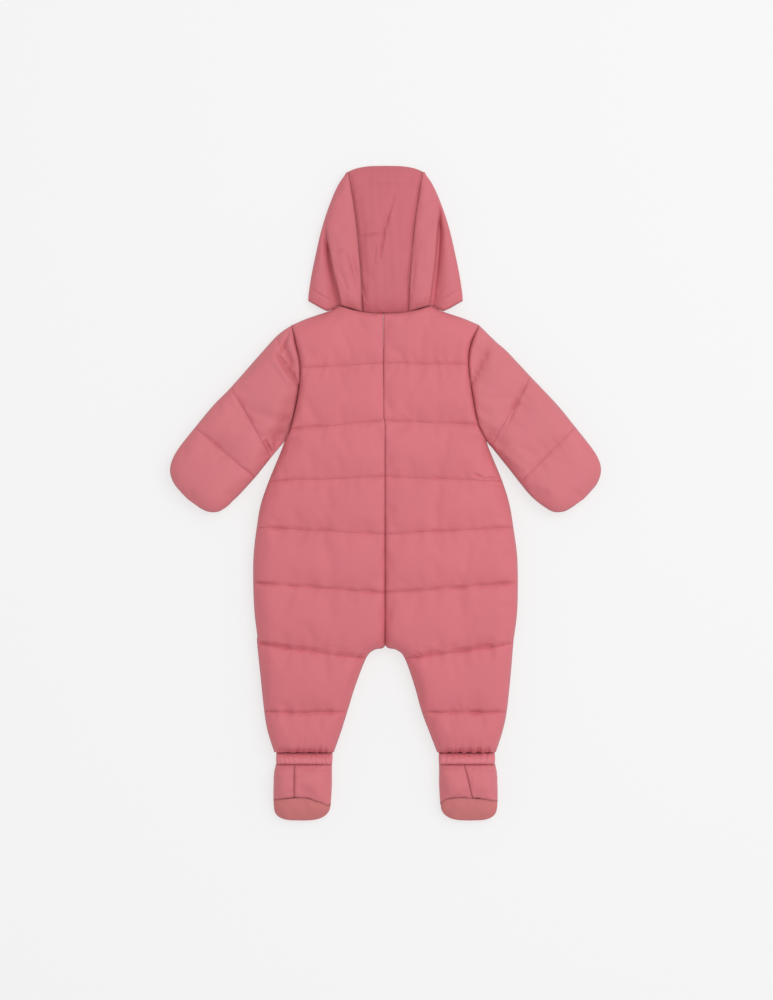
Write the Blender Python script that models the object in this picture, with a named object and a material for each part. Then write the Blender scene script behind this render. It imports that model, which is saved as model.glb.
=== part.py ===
"""Padded baby snowsuit with hood, closed mitts and booties, laid flat on its front.

The suit lies on the plane Z = 0 with its zip underneath and its back upwards.
+Y runs from the soles to the crown of the hood, and the wearer's right is at +X.
The tables are in millimetres for the side at +X. The other side is its mirror image.
"""

from collections import namedtuple
from math import asin, cos, hypot, pi, sin

import bmesh
import bpy

MM = 0.001
GAP = 0.3                  # room left along a seam between two pieces
SPLIT_Z = 13.0             # height where the front half of the suit meets the back half
FRONT_TOP = SPLIT_Z - GAP / 2
BACK_FLOOR = SPLIT_Z + GAP / 2

# Padding heights: on a crest between quilt lines, on a line, and at an outline seam.
Padding = namedtuple("Padding", "crest line sewn outline")
BACK_PADDING = Padding(crest=34.0, line=23.0, sewn=22.0, outline=16.0)
FRONT_PADDING = Padding(crest=-1.0, line=4.6, sewn=6.5, outline=10.0)
ARM_BACK_PADDING = Padding(crest=29.5, line=21.0, sewn=20.5, outline=16.0)
ARM_FRONT_PADDING = Padding(crest=-1.0, line=4.6, sewn=6.5, outline=10.0)
SEWN_WIDTH = 12.0          # how far the padding takes to rise from a sewn seam
OUTLINE_WIDTH = 30.0       # and from the outline of the suit
ARM_OUTLINE_WIDTH = 23.0

# One row for each quilt line (puff 0) or crest (puff 1). "in" is the centre seam, zip or
# inner leg, "out" the armhole or side seam; a fold of 1 is the suit's outline, 0 a seam.
Row = namedtuple("Row", "x_in y_in x_out y_out puff in_fold out_fold")
BACK_ROWS = (
    Row(0.15, 224.0, 117.0, 210.0, 0.0, 0.0, 0.5),       # neck and shoulder
    Row(0.15, 193.0, 107.0, 180.0, 1.0, 0.0, 0.0),
    Row(0.15, 162.5, 105.0, 158.0, 0.0, 0.0, 0.0),
    Row(0.15, 126.0, 108.5, 119.0, 1.0, 0.0, 0.0),
    Row(0.15, 90.0, 118.0, 82.0, 0.0, 0.0, 0.0),
    Row(0.15, 72.0, 126.0, 65.0, 0.8, 0.0, 0.5),         # underarm
    Row(0.15, 56.0, 130.0, 54.0, 1.0, 0.0, 1.0),
    Row(0.15, 22.0, 146.0, 16.0, 0.0, 0.0, 1.0),
    Row(0.15, -15.0, 156.0, -14.0, 1.0, 0.0, 1.0),
    Row(0.15, -51.0, 161.0, -43.0, 0.0, 0.0, 1.0),
    Row(0.15, -87.0, 164.5, -77.0, 1.0, 0.0, 1.0),
    Row(0.15, -122.0, 165.5, -111.0, 0.0, 0.0, 1.0),
    Row(0.15, -158.0, 163.5, -148.0, 1.0, 0.0, 1.0),
    Row(0.15, -191.0, 160.5, -177.0, 0.8, 0.6, 1.0),     # top of the crotch arch
    Row(14.0, -196.0, 160.0, -181.0, 0.6, 1.0, 1.0),
    Row(24.0, -206.0, 159.5, -186.0, 0.0, 1.0, 1.0),
    Row(37.0, -240.0, 156.0, -230.0, 1.0, 1.0, 1.0),
    Row(46.0, -271.0, 151.5, -271.0, 0.0, 1.0, 1.0),
    Row(54.5, -298.0, 146.0, -298.0, 1.0, 1.0, 1.0),
    Row(64.5, -324.0, 138.0, -324.0, 0.0, 1.0, 1.0),     # gathered ankle
)
UNDERARM = 5               # the row where the armhole ends
ZIP_EDGE = 5.0             # half the gap between the two fronts
ZIP_FOOT_Y = -150.0
LAST_ZIP_ROW = 11
FRONT_ROWS = (
    Row(ZIP_EDGE, 181.0, 117.0, 210.0, 0.0, 0.0, 0.5),
    Row(ZIP_EDGE, 172.0, 107.0, 180.0, 1.0, 0.0, 0.0),
    *(row._replace(x_in=ZIP_EDGE) for row in BACK_ROWS[2:LAST_ZIP_ROW + 1]),
    Row(ZIP_EDGE, ZIP_FOOT_Y - GAP, 163.8, -142.0, 0.9, 0.0, 1.0),
    Row(0.15, ZIP_FOOT_Y - 4.0, 163.6, -147.0, 1.0, 0.0, 1.0),
    *BACK_ROWS[LAST_ZIP_ROW + 2:],
)
COLUMNS = (0.0, 0.1, 0.25, 0.375, 0.5, 0.75, 0.9, 0.97, 1.0)

# Where the first row of a half panel really runs: along the neck, then the shoulder.
NeckPoint = namedtuple("NeckPoint", "x back_y front_x front_y")
NECK = (
    NeckPoint(0.15, 224.0, ZIP_EDGE, 181.0),
    NeckPoint(11.5, 224.3, 17.0, 183.3),
    NeckPoint(28.75, 226.0, 33.5, 192.5),
    NeckPoint(44.0, 229.3, 50.0, 213.0),
    NeckPoint(57.5, 234.0, 57.5, 234.0),                 # top of the shoulder at the neck
    NeckPoint(87.0, 223.0, 87.0, 223.0),
    NeckPoint(105.0, 215.8, 105.0, 215.8),
    NeckPoint(113.5, 211.8, 113.5, 211.8),
    NeckPoint(117.0, 210.0, 117.0, 210.0),
)
NECK_SIDE = 4              # the neck point on the shoulder

ARM_ROWS = (
    Row(117.0, 210.0, 126.0, 65.0, 0.3, 0.6, 0.6),       # armhole, which takes the body's points
    Row(139.0, 192.0, 128.5, 62.0, 0.8, 1.0, 1.0),
    Row(152.0, 179.0, 131.0, 59.0, 1.0, 1.0, 1.0),
    Row(190.0, 136.0, 137.0, 52.0, 0.0, 1.0, 1.0),
    Row(215.0, 110.0, 153.0, 32.0, 1.0, 1.0, 1.0),
    Row(239.0, 81.0, 171.0, 10.0, 0.0, 1.0, 1.0),
    Row(258.0, 57.0, 180.0, -0.5, 1.0, 1.0, 1.0),        # closed mitt
    Row(267.0, 41.0, 189.0, -9.0, 1.0, 1.0, 1.0),
    Row(269.4, 27.0, 199.0, -17.0, 0.95, 1.0, 1.0),
    Row(264.0, 14.0, 210.0, -22.5, 0.8, 1.0, 1.0),
    Row(255.0, 3.0, 222.0, -21.5, 0.5, 1.0, 1.0),
    Row(247.0, -5.0, 232.0, -16.0, -0.6, 1.0, 1.0),
)
ARM_STOPS = (0, 1, 2, 2.7, 3, 3.28, 3.75, 4.25, 4.72, 5, 5.4, 6, 7, 8, 9, 10, 11)
CAP_FADE = 2.7             # rows over which the armhole's curve dies out

# The hood, a row for each level of its outer leaf. "face" is the edge of the face opening.
HoodRow = namedtuple("HoodRow", "y x_seam x_crease y_crease x_out y_out x_face y_face lift")
HOOD_ROWS = (
    HoodRow(226.4, 28.9, 57.5, 234.4, 96.0, 243.0, 5.3, 181.3, 0.55),
    HoodRow(240.0, 29.2, 59.3, 244.0, 95.9, 249.0, 10.5, 207.0, 0.9),
    HoodRow(255.0, 29.5, 61.0, 256.0, 95.3, 258.0, 25.0, 233.0, 1.0),
    HoodRow(275.0, 30.2, 65.0, 275.0, 93.0, 275.0, 40.0, 258.0, 1.0),
    HoodRow(300.0, 32.5, 69.5, 300.0, 88.0, 300.0, 49.5, 285.0, 1.0),
    HoodRow(330.0, 35.2, 69.5, 330.0, 81.0, 330.0, 51.5, 318.0, 1.0),
    HoodRow(360.0, 39.2, 61.5, 360.0, 71.0, 360.0, 48.0, 352.0, 0.9),
    HoodRow(385.0, 43.2, 54.0, 385.0, 60.0, 385.0, 45.6, 378.0, 0.6),
    HoodRow(401.0, 46.2, 48.6, 401.0, 50.4, 401.0, 46.5, 400.0, 0.2),
)
LEAF_TOP = 6.15            # height where the hood's two leaves meet
OPENING_Z = 3.15           # height of the outer leaf's lining in the face opening
LEAF_RAMP = 12.0           # how far the lining takes to rise over the front leaf
LEAF_GAP = 0.5
CROWN_Y = 410.0
CROWN_LEAF_Y = 385.0       # where the strip that folds under the crown ends


def rise(distance, width):
    """Round shoulder from 0 at a seam to 1 at the given width."""
    inside = min(max(distance / width, 0.0), 1.0)
    return (1.0 - (1.0 - inside) ** 2) ** 0.5


def mix(a, b, part):
    return a + (b - a) * part


def curve_value(values, place):
    """Catmull-Rom reading of a list of numbers at a place counted in rows."""
    last = len(values) - 1
    k = min(int(place), last - 1)
    t = place - k
    p0, p1, p2, p3 = (values[min(max(k + step, 0), last)] for step in (-1, 0, 1, 2))
    return 0.5 * (2 * p1 + (p2 - p0) * t + (2 * p0 - 5 * p1 + 4 * p2 - p3) * t ** 2
                  + (3 * p1 - p0 - 3 * p2 + p3) * t ** 3)


def row_at(rows, place):
    """A table row read at any place: its outline on a smooth curve, the rest evenly."""
    smooth = [curve_value([row[k] for row in rows], place) for k in range(4)]
    smooth[0] = max(smooth[0], GAP / 2)
    k = min(int(place), len(rows) - 2)
    even = [mix(a, b, place - k) for a, b in zip(rows[k][4:], rows[k + 1][4:])]
    return Row(*smooth, *even)


def stops_of(rows, near):
    """Places to model: the table's rows, and two near each quilt line on either side."""
    lines = [k for k, row in enumerate(rows) if row.puff == 0.0]
    stops = set()
    for start, end in zip(lines, lines[1:]):
        inner = range(start + 1, end)
        shares = {near, 1.0 - near}
        if end - start == 2:
            inner, shares = (), {near, 0.37, 0.63, 1.0 - near}
        stops |= {float(start), float(end), *map(float, inner)}
        stops |= {start + share * (end - start) for share in shares}
    return sorted(stops)


def padded_height(row, padding, along, width, outline_width):
    """Height of the padding at a share of the row, from its quilting and its two edges."""
    puff = sin(pi / 2 * row.puff) ** 0.7 if row.puff > 0.0 else row.puff
    height = mix(padding.line, padding.crest, puff)
    for fold, distance in ((row.out_fold, (1.0 - along) * width), (row.in_fold, along * width)):
        edge = mix(padding.sewn, padding.outline, fold)
        height = mix(edge, height, rise(distance, mix(SEWN_WIDTH, outline_width, fold)))
    return max(height, 0.0)


def neck_shift(column, front):
    """How far the neck and shoulder line leaves a straight row, at one column."""
    point = NECK[column]
    rows = FRONT_ROWS if front else BACK_ROWS
    x, y = (point.front_x, point.front_y) if front else (point.x, point.back_y)
    along = COLUMNS[column]
    return (x - mix(rows[0].x_in, rows[0].x_out, along), y - mix(rows[0].y_in, rows[0].y_out, along))


def half_panel(front):
    """Outer and inner point grids of one half of the suit's back or front."""
    rows = FRONT_ROWS if front else BACK_ROWS
    padding = FRONT_PADDING if front else BACK_PADDING
    flat = FRONT_TOP if front else BACK_FLOOR
    outer, inner = [], []
    for place in stops_of(rows, 0.14):
        row = row_at(rows, place)
        width = hypot(row.x_out - row.x_in, row.y_out - row.y_in)
        fade = max(0.0, 1.0 - place / 2.0) ** 1.5
        line = []
        for column, along in enumerate(COLUMNS):
            shift_x, shift_y = neck_shift(column, front)
            x = mix(row.x_in, row.x_out, along) + shift_x * fade
            y = mix(row.y_in, row.y_out, along) + shift_y * fade
            line.append((x, y, padded_height(row, padding, along, width, OUTLINE_WIDTH)))
        outer.append(line)
        inner.append([(x, y, flat) for x, y, _ in line])
    return outer, inner


def armhole():
    """Points of the armhole seam, from the shoulder to the underarm."""
    places = [place for place in stops_of(BACK_ROWS, 0.14) if place <= UNDERARM]
    return [(row.x_out, row.y_out) for row in (row_at(BACK_ROWS, place) for place in places)]


def arm_panel(front):
    """Grids of one layer of a sleeve, from the armhole to the closed end of the mitt."""
    padding = ARM_FRONT_PADDING if front else ARM_BACK_PADDING
    flat = FRONT_TOP if front else BACK_FLOOR
    seam = armhole()
    lengths = [0.0]
    for (x0, y0), (x1, y1) in zip(seam, seam[1:]):
        lengths.append(lengths[-1] + hypot(x1 - x0, y1 - y0))
    outer, inner = [], []
    for place in ARM_STOPS:
        row = row_at(ARM_ROWS, place)
        width = hypot(row.x_out - row.x_in, row.y_out - row.y_in)
        fade = max(0.0, 1.0 - place / CAP_FADE) ** 1.3
        line = []
        for (seam_x, seam_y), length in zip(seam, lengths):
            along = length / lengths[-1]
            bow_x = seam_x - mix(ARM_ROWS[0].x_in, ARM_ROWS[0].x_out, along)
            bow_y = seam_y - mix(ARM_ROWS[0].y_in, ARM_ROWS[0].y_out, along)
            x = mix(row.x_in, row.x_out, along) + bow_x * fade + GAP
            y = mix(row.y_in, row.y_out, along) + bow_y * fade
            line.append((x, y, padded_height(row, padding, along, width, ARM_OUTLINE_WIDTH)))
        outer.append(line)
        inner.append([(x, y, flat) for x, y, _ in line])
    return outer, inner


def face_edge(y):
    """Half width of the face opening at one level."""
    edge = [(row.y_face, row.x_face) for row in HOOD_ROWS]
    for (y0, x0), (y1, x1) in zip(edge, edge[1:]):
        if y <= y1:
            return mix(x0, x1, max(0.0, (y - y0) / (y1 - y0)))
    return edge[-1][1]


def leaf_height(x, y):
    """Height where the hood's outer leaf rests on its front leaf or fills the opening."""
    over_side = (x - face_edge(y)) / LEAF_RAMP
    over_crown = (y - CROWN_LEAF_Y) / LEAF_RAMP
    covered = min(max(over_side, over_crown, 0.0), 1.0)
    return mix(OPENING_Z, LEAF_TOP, covered)


# Stations across the outer leaf of a hood side: from the seam at the strip to the crease
# (leaf 0 to 1) and on to the outline (1 to 2), with the height of its outer face.
Station = namedtuple("Station", "leaf height")
SIDE_STATIONS = (
    Station(0.0, 18.5), Station(0.2, 22.0), Station(0.5, 23.0), Station(0.8, 18.0),
    Station(1.0, 11.5), Station(1.15, 14.5), Station(1.38, 17.5), Station(1.7, 15.5),
    Station(1.9, 12.0), Station(2.0, 7.5),
)
FOLD_STATIONS = (Station(1.96, 2.5), Station(1.84, 0.0))
# Stations across the front leaf, from the outline (0) to the face edge (1). "hem" is
# where the hem meets the neck seam of the front, and "roof" the leaf's height there.
FrontStation = namedtuple("FrontStation", "along hem_x hem_y roof")
FRONT_STATIONS = (
    FrontStation(0.265, 72.0, 229.1, 5.6),
    FrontStation(0.424, 57.5, 234.4, 5.6),
    FrontStation(0.507, 49.7, 213.3, 12.4),
    FrontStation(0.69, 33.25, 192.8, 12.4),
    FrontStation(0.871, 16.8, 183.6, 12.4),
    FrontStation(1.0, ZIP_EDGE + GAP, 181.3, 9.0),
)
HEM_DIP_Y = 229.1          # where the flap's hem meets the shoulder
HEM_DIP = 1.38             # and at which station


def outer_leaf_point(row, station, fade):
    """Place of one station on the outer leaf, with the hem's dip at the shoulder."""
    if station.leaf <= 1.0:
        x = mix(row.x_seam, row.x_crease, station.leaf)
        y = mix(row.y, row.y_crease, station.leaf)
        return x, y
    part = station.leaf - 1.0
    x = mix(row.x_crease, row.x_out, part)
    y = mix(row.y_crease, row.y_out, part)
    first = HOOD_ROWS[0]
    straight = mix(first.y_crease, first.y_out, HEM_DIP - 1.0)
    sag = 1.0 - abs(part - (HEM_DIP - 1.0)) / (HEM_DIP - 1.0) if part < HEM_DIP - 1.0 \
        else (1.0 - part) / (2.0 - HEM_DIP)
    return x, y + (HEM_DIP_Y - straight) * sag * fade


def hood_side():
    """Grids of a hood side: its outer leaf, the fold at its outline and its front leaf."""
    outer, inner = [], []
    for number, row in enumerate(HOOD_ROWS):
        fade = max(0.0, 1.0 - (row.y - HOOD_ROWS[0].y) / 60.0)
        front_fade = fade ** 1.2
        top, lining = [], []
        for station in SIDE_STATIONS:
            x, y = outer_leaf_point(row, station, fade)
            floor = leaf_height(x, y) + LEAF_GAP
            height = max(mix(10.0, station.height, row.lift), floor + 1.2)
            if station.leaf >= 1.9:
                height = mix(8.0, station.height, row.lift)
            top.append((x, y, height))
            inset = min(station.leaf, 1.86)
            x_in, y_in = outer_leaf_point(row, Station(inset, 0.0), fade)
            lining.append((x_in, y_in, leaf_height(x_in, y_in) + LEAF_GAP * (station.leaf < 1.9)))
        for station in FOLD_STATIONS:
            x, y = outer_leaf_point(row, station, fade)
            top.append((x, y, station.height))
            x_in, y_in = outer_leaf_point(row, Station(1.84, 0.0), fade)
            lining.append((x_in, y_in, leaf_height(x_in, y_in) - LEAF_GAP))
        for station in FRONT_STATIONS:
            first = HOOD_ROWS[0]
            straight_x = mix(first.x_out, first.x_face, station.along)
            straight_y = mix(first.y_out, first.y_face, station.along)
            x = mix(row.x_out, row.x_face, station.along) + (station.hem_x - straight_x) * front_fade
            y = mix(row.y_out, row.y_face, station.along) + (station.hem_y - straight_y) * front_fade
            top.append((x, y, 0.0))
            roof = station.roof if number == 0 else leaf_height(x, y) - LEAF_GAP
            lining.append((x, y, roof))
        outer.append(top)
        inner.append(lining)
    return outer, inner


# The strip goes over the crown: "drop" is how far a row is below the crown's outline.
CrownRow = namedtuple("CrownRow", "drop height inner_y inner_z")
CROWN_ROWS = (
    CrownRow(3.5, 12.0, 401.5, LEAF_TOP + LEAF_GAP),
    CrownRow(0.0, 7.2, 402.0, LEAF_TOP),
    CrownRow(2.0, 2.2, 401.0, LEAF_TOP - LEAF_GAP),
    CrownRow(7.5, 0.0, 399.0, LEAF_TOP - LEAF_GAP),
)
STRIP_COLUMNS = (-1.0, -0.85, -0.5, -0.18, 0.18, 0.5, 0.85, 1.0)
STRIP_HEIGHT = 24.0
STRIP_SEAM = 18.5
CROWN_HALF_WIDTH = 45.3
UNDER_HALF_WIDTH = 44.4


def strip_height(across, lift):
    """Height of the strip's outer face between its two seams."""
    edge = rise(1.0 - abs(across), 0.5)
    return mix(10.0, mix(STRIP_SEAM, STRIP_HEIGHT, edge), lift)


def neck_y(x):
    """Level of the body's neck seam at a distance from the centre."""
    seam = NECK[:NECK_SIDE + 1]
    for left, right in zip(seam, seam[1:]):
        if abs(x) <= right.x:
            return mix(left.back_y, right.back_y, (abs(x) - left.x) / (right.x - left.x))
    return seam[-1].back_y


def crown_y(x):
    """Outline of the hood's crown."""
    return CROWN_Y - 8.0 * (abs(x) / CROWN_HALF_WIDTH) ** 2.5


def hood_strip():
    """Grids of the hood's centre strip, from the neck over the crown to the face opening."""
    outer, inner = [], []
    for number, row in enumerate(HOOD_ROWS[:-1]):
        line = []
        for across in STRIP_COLUMNS:
            x = across * (row.x_seam - GAP)
            y = neck_y(x) + GAP if number == 0 else row.y
            line.append((x, y, strip_height(across, row.lift)))
        outer.append(line)
        inner.append([(x, y, leaf_height(abs(x), y) + LEAF_GAP) for x, y, _ in line])
    for row in CROWN_ROWS:
        half = CROWN_HALF_WIDTH - GAP / 2 if row.drop < 5.0 else UNDER_HALF_WIDTH
        xs = [across * half for across in STRIP_COLUMNS]
        outer.append([(x, crown_y(x) - row.drop, row.height) for x in xs])
        inner.append([(x, row.inner_y - (CROWN_Y - crown_y(x)) * 0.6, row.inner_z) for x in xs])
    for y, roof in ((CROWN_LEAF_Y + 6.0, 0.5), (CROWN_LEAF_Y, 0.0)):
        xs = [across * UNDER_HALF_WIDTH for across in STRIP_COLUMNS]
        outer.append([(x, y, 0.0) for x in xs])
        inner.append([(x, y, mix(OPENING_Z, LEAF_TOP, roof) - LEAF_GAP) for x in xs])
    return outer, inner


# Ankle and bootie, for the leg at +X.
ANKLE_TOP = -324.3
ANKLE_END = -339.0
ANKLE_X = 101.6
ANKLE_HALF = 35.6
ANKLE_WALL = 9.0           # side wall of the band; its two layers meet but for a slit
ANKLE_SLIT = 0.4
BandRow = namedtuple("BandRow", "y half height")
BAND_ROWS = (
    BandRow(ANKLE_TOP, ANKLE_HALF, 23.0),
    BandRow(-327.5, ANKLE_HALF - 0.4, 20.0),
    BandRow(-332.0, ANKLE_HALF, 21.5),
    BandRow(ANKLE_END, ANKLE_HALF - 0.5, 20.5),
)
BAND_SIDES = 24
BAND_CORNER = 0.6          # exponent of the flattened ring's rounding

BootRow = namedtuple("BootRow", "y x_in x_out x_heel top edge floor")
BOOT_ROWS = (
    BootRow(-339.3, 66.4, 137.6, 105.0, 24.0, 13.0, 1.0),
    BootRow(-345.3, 65.9, 138.6, 105.6, 28.0, 13.5, 1.0),
    BootRow(-345.8, 65.9, 138.7, 105.7, 28.3, 13.5, 4.6),
    BootRow(-360.0, 65.7, 140.4, 107.0, 31.0, 14.0, 4.6),
    BootRow(-373.0, 66.2, 140.8, 108.3, 30.0, 14.0, 4.6),
    BootRow(-381.0, 67.0, 140.6, 109.0, 27.0, 13.0, 4.6),
)
BOOT_COLUMNS = (0.0, 0.06, 0.2, 0.45, 0.75, 1.0)
BOOT_ROUND = 24.0
HEEL_GROOVE = 2.5

SOLE_Y = -381.3
SOLE_X = 103.8
SOLE_HALF = 36.8
SOLE_DEPTH = 28.7
SOLE_LEAST = 5.0
SOLE_POWER = 3.4
TOE_Y = -346.2
SOLE_FLOOR = 4.3
SOLE_LIP = 2.5
SOLE_ACROSS = (-1.0, -0.93, -0.78, -0.5, -0.17, 0.17, 0.5, 0.78, 0.93, 1.0)
# The sole from the heel seam, round the end of the foot and under to the toe: how far
# out and how high its outer face is there, and how high its inner face.
SoleStop = namedtuple("SoleStop", "out height inner")
SOLE_STOPS = (
    SoleStop(0.0, 1.0, 1.0), SoleStop(0.4, 0.92, 0.75), SoleStop(0.76, 0.7, 0.5),
    SoleStop(1.0, 0.4, 0.25), SoleStop(0.93, 0.13, 0.1), SoleStop(0.68, 0.0, 0.0),
)
SOLE_UNDER = (-8.0, -25.0)  # steps back from the heel seam before the toe edge


def ankle_band():
    """Grids of the ring around the ankle, pressed flat."""
    outer, inner = [], []
    for row in BAND_ROWS:
        line, lining = [], []
        middle = row.height / 2 + 0.5
        for k in range(BAND_SIDES):
            turn = 2 * pi * k / BAND_SIDES
            away = abs(cos(turn)) ** BAND_CORNER * (1 if cos(turn) > 0 else -1)
            up = abs(sin(turn)) ** BAND_CORNER * (1 if sin(turn) > 0 else -1)
            line.append((ANKLE_X + row.half * away, row.y, middle + (row.height / 2) * up))
            reach = row.half - ANKLE_WALL
            lining.append((ANKLE_X + reach * away, row.y, middle + ANKLE_SLIT * up))
        outer.append(line)
        inner.append(lining)
    return outer, inner


def boot_height(row, x):
    """Height of the bootie's upper between its outline and the heel seam."""
    distance = min(x - row.x_in, row.x_out - x)
    height = mix(row.edge, row.top, rise(distance, BOOT_ROUND))
    return height - HEEL_GROOVE * (1.0 - rise(abs(x - row.x_heel), 6.0))


def boot_quarter(inner_side):
    """Grids of the upper on one side of the heel seam."""
    outer, inner = [], []
    for row in BOOT_ROWS:
        edge = row.x_in if inner_side else row.x_out
        heel = row.x_heel + (-GAP / 2 if inner_side else GAP / 2)
        xs = [mix(edge, heel, along) for along in BOOT_COLUMNS]
        outer.append([(x, row.y, boot_height(row, x)) for x in xs])
        inner.append([(x, row.y, row.floor) for x in xs])
    return outer, inner


def boot_sole():
    """Grids of the sole, which rounds the end of the foot and lies under it."""
    outer, inner = [], []
    last = BOOT_ROWS[-1]
    for across in SOLE_ACROSS:
        x = SOLE_X + across * SOLE_HALF
        roundness = (1.0 - abs(across) ** SOLE_POWER) ** (1.0 / SOLE_POWER)
        depth = mix(SOLE_LEAST, SOLE_DEPTH, roundness)
        inside = min(max(x, last.x_in), last.x_out)
        top = mix(last.edge, last.top, rise(min(inside - last.x_in, last.x_out - inside), BOOT_ROUND))
        lip = top - SOLE_LIP
        line, lining = [], []
        for stop in SOLE_STOPS:
            line.append((x, SOLE_Y - depth * stop.out, max(top * stop.height, 0.0)))
            lining.append((x, SOLE_Y, mix(SOLE_FLOOR, lip, stop.inner)))
        toe = TOE_Y - 9.0 * abs(across) ** 4
        for step in SOLE_UNDER:
            line.append((x, SOLE_Y - step, 0.0))
            lining.append((x, SOLE_Y - step, SOLE_FLOOR))
        line.append((x, toe, 1.0))
        lining.append((x, toe, SOLE_FLOOR - 0.4))
        outer.append(line)
        inner.append(lining)
    return outer, inner


# Zip, under the front: the tape behind, then the closed chain, slider and pull tab.
TAPE_HALF = 4.7
TAPE_Z = (8.0, 9.0)
TAPE_TOP_Y = 181.5
CHAIN_HALF = 2.2
CHAIN_Z = (5.6, 7.7)
CHAIN_TOP_Y = 178.0
SLIDER_Y = (171.0, 181.0)
SLIDER_HALF = 4.0
SLIDER_Z = (3.6, 5.3)
FLANGE_IN = 2.6
FLANGE_Z = 7.7
BRIDGE_HALF = 1.0
BRIDGE_Y = (172.5, 179.5)
BRIDGE_LEG = 1.4
BRIDGE_Z = (0.6, 1.5)
PULL_Y = 176.0             # the pull tab's hinge
PULL_Z = 2.5
PULL_HALF = 4.0
PULL_LENGTH = 24.0
PULL_THICK = 1.2
EYE_HALF = 1.7
EYE_LENGTH = 5.5


def add_material(name, colour, roughness, metallic=0.0):
    material = bpy.data.materials.new(name)
    material.use_nodes = True
    shader = material.node_tree.nodes["Principled BSDF"]
    shader.inputs["Base Color"].default_value = (*colour, 1.0)
    shader.inputs["Roughness"].default_value = roughness
    shader.inputs["Metallic"].default_value = metallic
    return material


def add_object(name, mesh, material):
    mesh.materials.append(material)
    item = bpy.data.objects.new(name, mesh)
    bpy.context.scene.collection.objects.link(item)
    return item


def add_wall(name, grids, material, side=1, ring=False):
    """Closed solid between an outer and an inner grid of points; side -1 mirrors it."""
    outer, inner = grids
    rows, columns = len(outer), len(outer[0])
    mesh = bpy.data.meshes.new(name)
    work = bmesh.new()
    skins = []
    for grid in (outer, inner):
        skins.append([[work.verts.new((side * x * MM, y * MM, z * MM)) for x, y, z in line]
                      for line in grid])
    top, floor = skins
    spans = columns if ring else columns - 1
    for r in range(rows - 1):
        for c in range(spans):
            d = (c + 1) % columns
            work.faces.new((top[r][c], top[r][d], top[r + 1][d], top[r + 1][c]))
            work.faces.new((floor[r][c], floor[r + 1][c], floor[r + 1][d], floor[r][d]))
    for c in range(spans):
        d = (c + 1) % columns
        for r in (0, rows - 1):
            work.faces.new((top[r][c], floor[r][c], floor[r][d], top[r][d]))
    if not ring:
        for r in range(rows - 1):
            for c in (0, columns - 1):
                work.faces.new((top[r][c], top[r + 1][c], floor[r + 1][c], floor[r][c]))
    bmesh.ops.recalc_face_normals(work, faces=work.faces)
    bmesh.ops.triangulate(work, faces=work.faces)
    work.to_mesh(mesh)
    work.free()
    mesh.shade_smooth()
    mesh.set_sharp_from_angle(angle=asin(0.7))
    return add_object(name, mesh, material)


def add_prism(name, outline, axis, span, material, hole=None):
    """Outline extruded along X or Z between two values; the outline lists the other two axes."""
    mesh = bpy.data.meshes.new(name)
    work = bmesh.new()

    def place(a, b, along):
        x, y, z = (along, a, b) if axis == "X" else (a, b, along)
        return (x * MM, y * MM, z * MM)

    loops = [outline] + ([hole] if hole else [])
    for loop in loops:
        low = [work.verts.new(place(a, b, span[0])) for a, b in loop]
        high = [work.verts.new(place(a, b, span[1])) for a, b in loop]
        for k in range(len(loop)):
            n = (k + 1) % len(loop)
            work.faces.new((low[k], low[n], high[n], high[k]))
        for ring in (low, high):
            if hole is None:
                work.faces.new(ring)
            else:
                for k in range(len(ring)):
                    n = (k + 1) % len(ring)
                    if work.edges.get((ring[k], ring[n])) is None:
                        work.edges.new((ring[k], ring[n]))
    if hole:
        work.verts.ensure_lookup_table()
        count, inner = len(outline), len(hole)
        for level in (0, 1):
            rim = work.verts[level * count:(level + 1) * count]
            start = 2 * count + level * inner
            eye = work.verts[start:start + inner]
            for k in range(count):
                n = (k + 1) % count
                work.faces.new((rim[k], rim[n], eye[n], eye[k]))
    bmesh.ops.recalc_face_normals(work, faces=work.faces)
    work.to_mesh(mesh)
    work.free()
    return add_object(name, mesh, material)


def rectangle(x0, x1, y0, y1):
    return [(x0, y0), (x1, y0), (x1, y1), (x0, y1)]


def join_by_union(target, other):
    """Unites two overlapping solids and removes the second."""
    union = target.modifiers.new("union", "BOOLEAN")
    union.operation = "UNION"
    union.solver = "EXACT"
    union.object = other
    bpy.context.view_layer.update()
    depsgraph = bpy.context.evaluated_depsgraph_get()
    mesh = bpy.data.meshes.new_from_object(target.evaluated_get(depsgraph))
    target.modifiers.clear()
    target.data = mesh
    bpy.data.objects.remove(other)


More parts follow.
